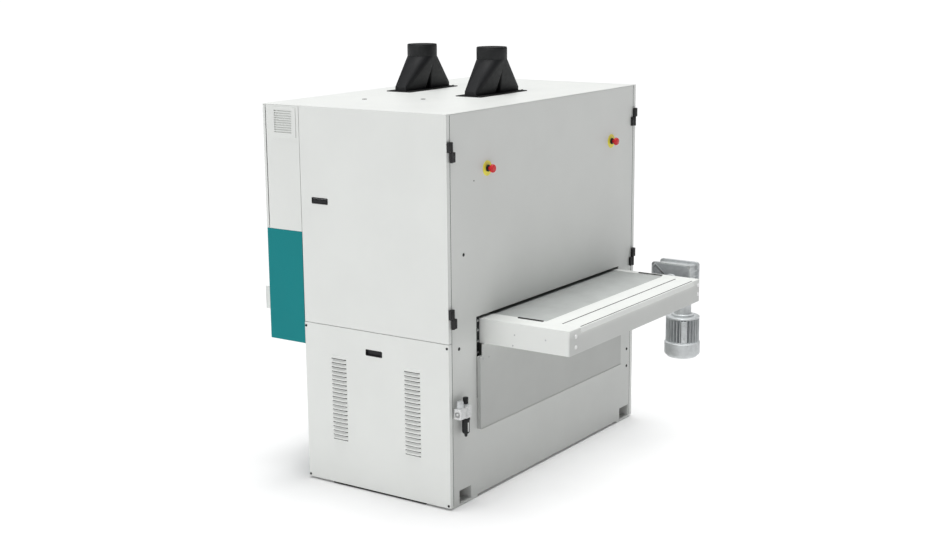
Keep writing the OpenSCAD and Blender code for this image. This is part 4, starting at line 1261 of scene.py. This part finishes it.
class SANDER_OT_heads(bpy.types.Operator):
    """Dresses the drums, rollers, sanding belts and head frames"""
    bl_idname = "sander.heads"
    bl_label = "Sanding heads"

    def execute(self, context):
        for end in ENDS:
            dress(f"{end}_head_frame", finish("motor"), 1.5)
            dress(f"{end}_contact_drum", finish("drum"))
            dress(f"{end}_tension_roller", finish("ground"))
            dress(f"{end}_sanding_belt", finish("grit"))
            dress(f"{end}_pressure_roller", finish("rubber"))
        return {"FINISHED"}


# ---------- drives inside the body ----------


class SANDER_OT_main_drives(bpy.types.Operator):
    """Builds the main motors, their grooved pulleys, and dresses the drive belts"""
    bl_idname = "sander.main_drives"
    bl_label = "Main drives"

    grooves = 4

    def execute(self, context):
        for end in ENDS:
            lo, hi = cad(f"{end}_main_motor")
            pulley_lo, pulley_hi = cad(f"{end}_motor_pulley")
            at = Vector((0, (lo.y + hi.y) / 2, (pulley_lo.z + pulley_hi.z) / 2))
            r = hi.z - at.z
            mesh = bmesh.new()
            turned(mesh, "X", at, [
                (20, lo.x), (60, lo.x + 1), (r - 22, lo.x + 6), (r - 4, lo.x + 14),
                (r - 4, lo.x + 30), (r - 16, lo.x + 34), (r - 16, hi.x - 84), (r - 3, hi.x - 80),
                (r, hi.x - 78), (r, hi.x - 16), (r - 14, hi.x - 2), (r - 40, hi.x),
                (r - 42, hi.x - 3), (12, hi.x - 3),
            ], 64)
            cooling_fins(mesh, at, "X", r - 18, r - 1, (lo.x + 30, hi.x - 82), 36, 3.4)
            for x in (lo.x + 20, lo.x + 190):
                for y in (-90, 50):
                    block(mesh, (x, at.y + y, lo.z), (x + 60, at.y + y + 40, at.z - 70), 4)
                block(mesh, (x, at.y - 90, lo.z), (x + 60, at.y + 90, lo.z + 14), 3)
            block(mesh, (lo.x + 90, at.y - 60, at.z + r - 22),
                  (lo.x + 210, at.y + 60, at.z + r), 6, 3)
            piece(f"{end}_main_motor_body", mesh, "frame", [finish("motor")],
                  [f"{end}_main_motor"])
            mesh = bmesh.new()
            edge_r, x0 = pulley_hi.z - at.z, pulley_lo.x
            width = 50
            profile = [(20, x0), (edge_r - 3, x0), (edge_r, x0 + 2)]
            step = (width - 4) / self.grooves
            for k in range(self.grooves):
                start = x0 + 2 + step * k
                profile += [
                    (edge_r, start + step * 0.15), (edge_r - 9, start + step * 0.38),
                    (edge_r - 9, start + step * 0.62), (edge_r, start + step * 0.85),
                ]
            profile += [(edge_r, x0 + width - 2), (edge_r - 3, x0 + width), (20, x0 + width),
                        (19, x0 + width + 1), (19, pulley_hi.x)]
            turned(mesh, "X", at, profile, 64)
            piece(f"{end}_pulley_wheel", mesh, f"{end}_pulley", [finish("zinc")],
                  [f"{end}_motor_pulley"])
        dress("drive_belts", finish("rubber"))
        return {"FINISHED"}


# ---------- lifting gear ----------


class SANDER_OT_lifting_gear(bpy.types.Operator):
    """Builds the threaded lifting screws, the roller chain and the lift gearmotor"""
    bl_idname = "sander.lifting_gear"
    bl_label = "Lifting gear"

    lead = 6  # travel of the table for one turn of the screws
    corners = {
        "screw_outfeed_l": "lift_screw_outfeed_left", "screw_outfeed_r": "lift_screw_outfeed_right",
        "screw_infeed_l": "lift_screw_infeed_left", "screw_infeed_r": "lift_screw_infeed_right",
    }

    def execute(self, context):
        for body, node in self.corners.items():
            self.build_screw(body, node)
        self.build_chain()
        self.build_gearmotor()
        return {"FINISHED"}

    def build_screw(self, body, node):
        lo, hi = cad(node)
        at = Vector(((lo.x + hi.x) / 2, (lo.y + hi.y) / 2, 0))
        r, pitch_r, teeth = 18, (hi.x - lo.x) / 2, 18
        mesh = bmesh.new()
        pitch = self.lead * 2
        steps, count = 24, int((hi.z - 6 - 130) / pitch)
        previous = None
        for k in range(count * steps):
            a = math.tau * k / steps
            z = 130 + pitch * k / steps
            section = [
                mesh.verts.new(ring((radius, z + dz), "Z", at, a))
                for radius, dz in ((r - 3, 0), (r, 2), (r, 5), (r - 3, 7))
            ]
            if previous:
                for i in range(3):
                    mesh.faces.new((previous[i], section[i], section[i + 1], previous[i + 1]))
            previous = section
        turned(mesh, "Z", at, [
            (12, lo.z), (15, lo.z + 2), (15, 90), (r, 91), (r, 107), (26, 107.5), (26, 118.5),
            (r, 119), (r, 128), (r - 3, 130), (r - 3, hi.z - 4), (r - 5, hi.z - 1), (5, hi.z),
        ], 40)
        wheel = []
        for k in range(teeth * 4):
            a = math.tau * k / (teeth * 4)
            radius = pitch_r - (0, 1.2, 5.5, 1.2)[k % 4]
            wheel.append((at.x + radius * math.cos(a), at.y + radius * math.sin(a)))
        loft(mesh, [lift("Z", wheel, z) for z in (109, 117)], True, True)
        piece(f"{node}_thread", mesh, body, [finish("ground upright")], [node])

    def build_chain(self):
        lo, hi = cad("lift_chain")
        mid = (lo + hi) / 2
        r = 49
        outline = [
            Vector((mid.x + u, mid.y + v))
            for u, v in rounded(hi.x - lo.x - 8, hi.y - lo.y - 8, r, 14)
        ]
        outline.append(outline[0])
        mesh = bmesh.new()
        step, spare, k = 12.7, 0.0, 0
        for a, b in zip(outline, outline[1:]):
            run = (b - a).length
            way = (b - a).normalized() if run > 0 else Vector((1, 0))
            while spare <= run:
                at = a + way * spare
                turned(mesh, "Z", (at.x, at.y, 0), [(3.6, mid.z - 2.6), (3.6, mid.z + 2.6)], 8)
                tail = at + way * step
                wide = 2.6 if k % 2 else 3.6
                for side in (-1, 1):
                    level = mid.z + side * wide
                    across = Vector((-way.y, way.x)) * 3.4
                    link = [at + across - way * 3, tail + across + way * 3,
                            tail - across + way * 3, at - across - way * 3]
                    loft(mesh, [lift("Z", [tuple(p) for p in link], level + d)
                                for d in (-0.4, 0.4)], True, True)
                spare += step
                k += 1
            spare -= run
        piece("lift_roller_chain", mesh, "frame", [finish("blackened")],
              ["lift_chain"])

    def build_gearmotor(self):
        lo, hi = cad("lift_gearmotor")
        screw = middle("lift_screw_infeed_left")
        mesh = bmesh.new()
        block(mesh, (lo.x, screw.y - 55, lo.z), (screw.x + 55, hi.y, 195), 8, 3)
        for x in (-38, 38):
            for y in (-38, 38):
                cap_screw(mesh, "Z", 1, (screw.x + x, screw.y + y, 195), 5, 4, True, 1)
        at = Vector((0, screw.y, 172))
        x0 = screw.x + 55
        turned(mesh, "X", at, [
            (30, x0 - 2), (38, x0 + 4), (44, x0 + 6), (44, x0 + 14), (37, x0 + 16),
            (37, hi.x - 50), (43, hi.x - 48), (45, hi.x - 46), (45, hi.x - 8), (38, hi.x),
            (10, hi.x),
        ], 48)
        cooling_fins(mesh, at, "X", 36, 44, (x0 + 14, hi.x - 50), 24, 2.4)
        turned(mesh, "Z", (screw.x, screw.y, 0), [(24, 190), (24, 196), (18.4, 196)], 32, 1)
        piece("lift_gearmotor_body", mesh, "frame", [finish("motor"), finish("zinc")],
              ["lift_gearmotor"])


# ---------- studio ----------


class SANDER_OT_stage(bpy.types.Operator):
    """Lays the floor, hangs the lights and sets the camera"""
    bl_idname = "sander.stage"
    bl_label = "Studio"

    eye = (-6507.6, -4391.1, 2627.6)  # camera place, in mm
    turn, dip, roll = -55.455, 12.224, -0.544  # camera heading, pitch down and roll, in degrees
    shadeless = (  # the studio floor shows no shadow of the table or its drive
        "table_frame", "end_covers", "table_aprons", "nose_plates", "feed_belt",
        "feed_drive_roller", "feed_gearbox_casting", "feed_motor_body",
    )
    lens = 58.2
    sensor = 36.0

    def execute(self, context):
        scene = context.scene
        scene.view_settings.view_transform = "Standard"
        self.lay_floor()
        self.light_room(scene)
        self.set_camera(scene)
        return {"FINISHED"}

    def lay_floor(self):
        paper, tree, shader, place = start_finish(
            "white studio floor", IOR=1.3, Specular_IOR_Level=0.1,
            Emission_Color=(1, 1, 1, 1), Emission_Strength=0.05,
        )
        tone = blotch(tree, place, 900, (tint(linear("#F2F2F2"), 1), tint(linear("#F6F6F6"), 1)))
        tree.links.new(tone, shader.inputs["Base Color"])
        gloss_drift(tree, shader, place, 500, 0.8, 0.9)
        mesh = bmesh.new()
        size = 60
        mesh.faces.new([mesh.verts.new((x * size, y * size, -0.0005))
                        for x, y in ((-1, -1), (1, -1), (1, 1), (-1, 1))])
        data = bpy.data.meshes.new("floor")
        mesh.to_mesh(data)
        mesh.free()
        data.materials.append(paper)
        floor = bpy.data.objects.new("floor", data)
        bpy.context.scene.collection.objects.link(floor)

    def light_room(self, scene):
        room = bpy.data.worlds.new("studio")
        room.use_nodes = True
        tree = room.node_tree
        tree.nodes.clear()
        seen = add(tree, "ShaderNodeBackground", {"Color": (1, 1, 1, 1), "Strength": 1.05})
        soft = add(tree, "ShaderNodeBackground", {"Color": (0.97, 0.98, 1, 1), "Strength": 0.17})
        eye = add(tree, "ShaderNodeLightPath")
        mixed = add(tree, "ShaderNodeMixShader", {
            0: eye.outputs["Is Camera Ray"], 1: soft.outputs[0], 2: seen.outputs[0],
        })
        add(tree, "ShaderNodeOutputWorld", {"Surface": mixed.outputs[0]})
        scene.world = room
        spared = bpy.data.collections.new("lit by the key alone")
        spared.objects.link(bpy.data.objects["floor"])
        spared.collection_objects[0].light_linking.link_state = "EXCLUDE"
        clear = bpy.data.collections.new("casts no shadow of the key")
        for name in self.shadeless:
            clear.objects.link(bpy.data.objects[name])
        for linked in clear.collection_objects:
            linked.light_linking.link_state = "EXCLUDE"
        for name, strength, spread, toward in (
            ("key", 3.0, 34, (0.02, 0.04, 1.0)),
            ("side", 0.9, 50, (-1.0, 0.15, 0.35)),
            ("back", 0.3, 60, (0.7, 0.8, 0.5)),
        ):
            lamp = bpy.data.lights.new(name, "SUN")
            lamp.energy = strength
            lamp.angle = math.radians(spread)
            hung = bpy.data.objects.new(name, lamp)
            hung.rotation_mode = "QUATERNION"
            hung.rotation_quaternion = Vector(toward).to_track_quat("Z", "Y")
            scene.collection.objects.link(hung)
            if name == "key":
                hung.light_linking.blocker_collection = clear
            else:
                hung.light_linking.receiver_collection = spared

    def set_camera(self, scene):
        lens = bpy.data.cameras.new("camera")
        lens.lens, lens.sensor_width = self.lens, self.sensor
        lens.clip_end = 200
        camera = bpy.data.objects.new("camera", lens)
        yaw, dip, roll = (math.radians(a) for a in (self.turn, self.dip, self.roll))
        ahead = Vector((-math.sin(yaw) * math.cos(dip), math.cos(yaw) * math.cos(dip),
                        -math.sin(dip)))
        right = Vector((math.cos(yaw), math.sin(yaw), 0))
        up = right.cross(ahead)
        side = right * math.cos(roll) + up * math.sin(roll)
        top = up * math.cos(roll) - right * math.sin(roll)
        turn = Matrix((side, top, -ahead)).transposed().to_4x4()
        camera.matrix_world = Matrix.Translation(Vector(self.eye) * MM) @ turn
        scene.collection.objects.link(camera)
        scene.camera = camera


# ---------- sidebar and registration ----------


OPERATORS = (
    SANDER_OT_finishes, SANDER_OT_shell, SANDER_OT_base_panels, SANDER_OT_latches,
    SANDER_OT_hinges, SANDER_OT_plugs, SANDER_OT_dust_hoods, SANDER_OT_stops,
    SANDER_OT_air_unit, SANDER_OT_table, SANDER_OT_feed_drive, SANDER_OT_console,
    SANDER_OT_heads, SANDER_OT_main_drives, SANDER_OT_lifting_gear, SANDER_OT_stage,
)


class SANDER_PT_sidebar(bpy.types.Panel):
    """Sizes, colours and steps of the sander"""
    bl_idname = "SANDER_PT_sidebar"
    bl_label = "Sander"
    bl_space_type = "VIEW_3D"
    bl_region_type = "UI"
    bl_category = "Sander"

    def draw(self, context):
        for group in (context.scene.sander_sizes, context.scene.sander_colours):
            for key in group.bl_rna.properties.keys():
                if key not in {"rna_type", "name"}:
                    self.layout.prop(group, key)
        for step in OPERATORS:
            self.layout.operator(step.bl_idname)


CLASSES = (SanderColours, SanderSizes, *OPERATORS, SANDER_PT_sidebar)


def register():
    for kind in CLASSES:
        bpy.utils.register_class(kind)
    bpy.types.Scene.sander_colours = PointerProperty(type=SanderColours)
    bpy.types.Scene.sander_sizes = PointerProperty(type=SanderSizes)


def unregister():
    del bpy.types.Scene.sander_sizes
    del bpy.types.Scene.sander_colours
    for kind in reversed(CLASSES):
        bpy.utils.unregister_class(kind)


def main():
    register()
    for step in OPERATORS:
        group, name = step.bl_idname.split(".")
        getattr(getattr(bpy.ops, group), name)()


if __name__ == "__main__":
    main()
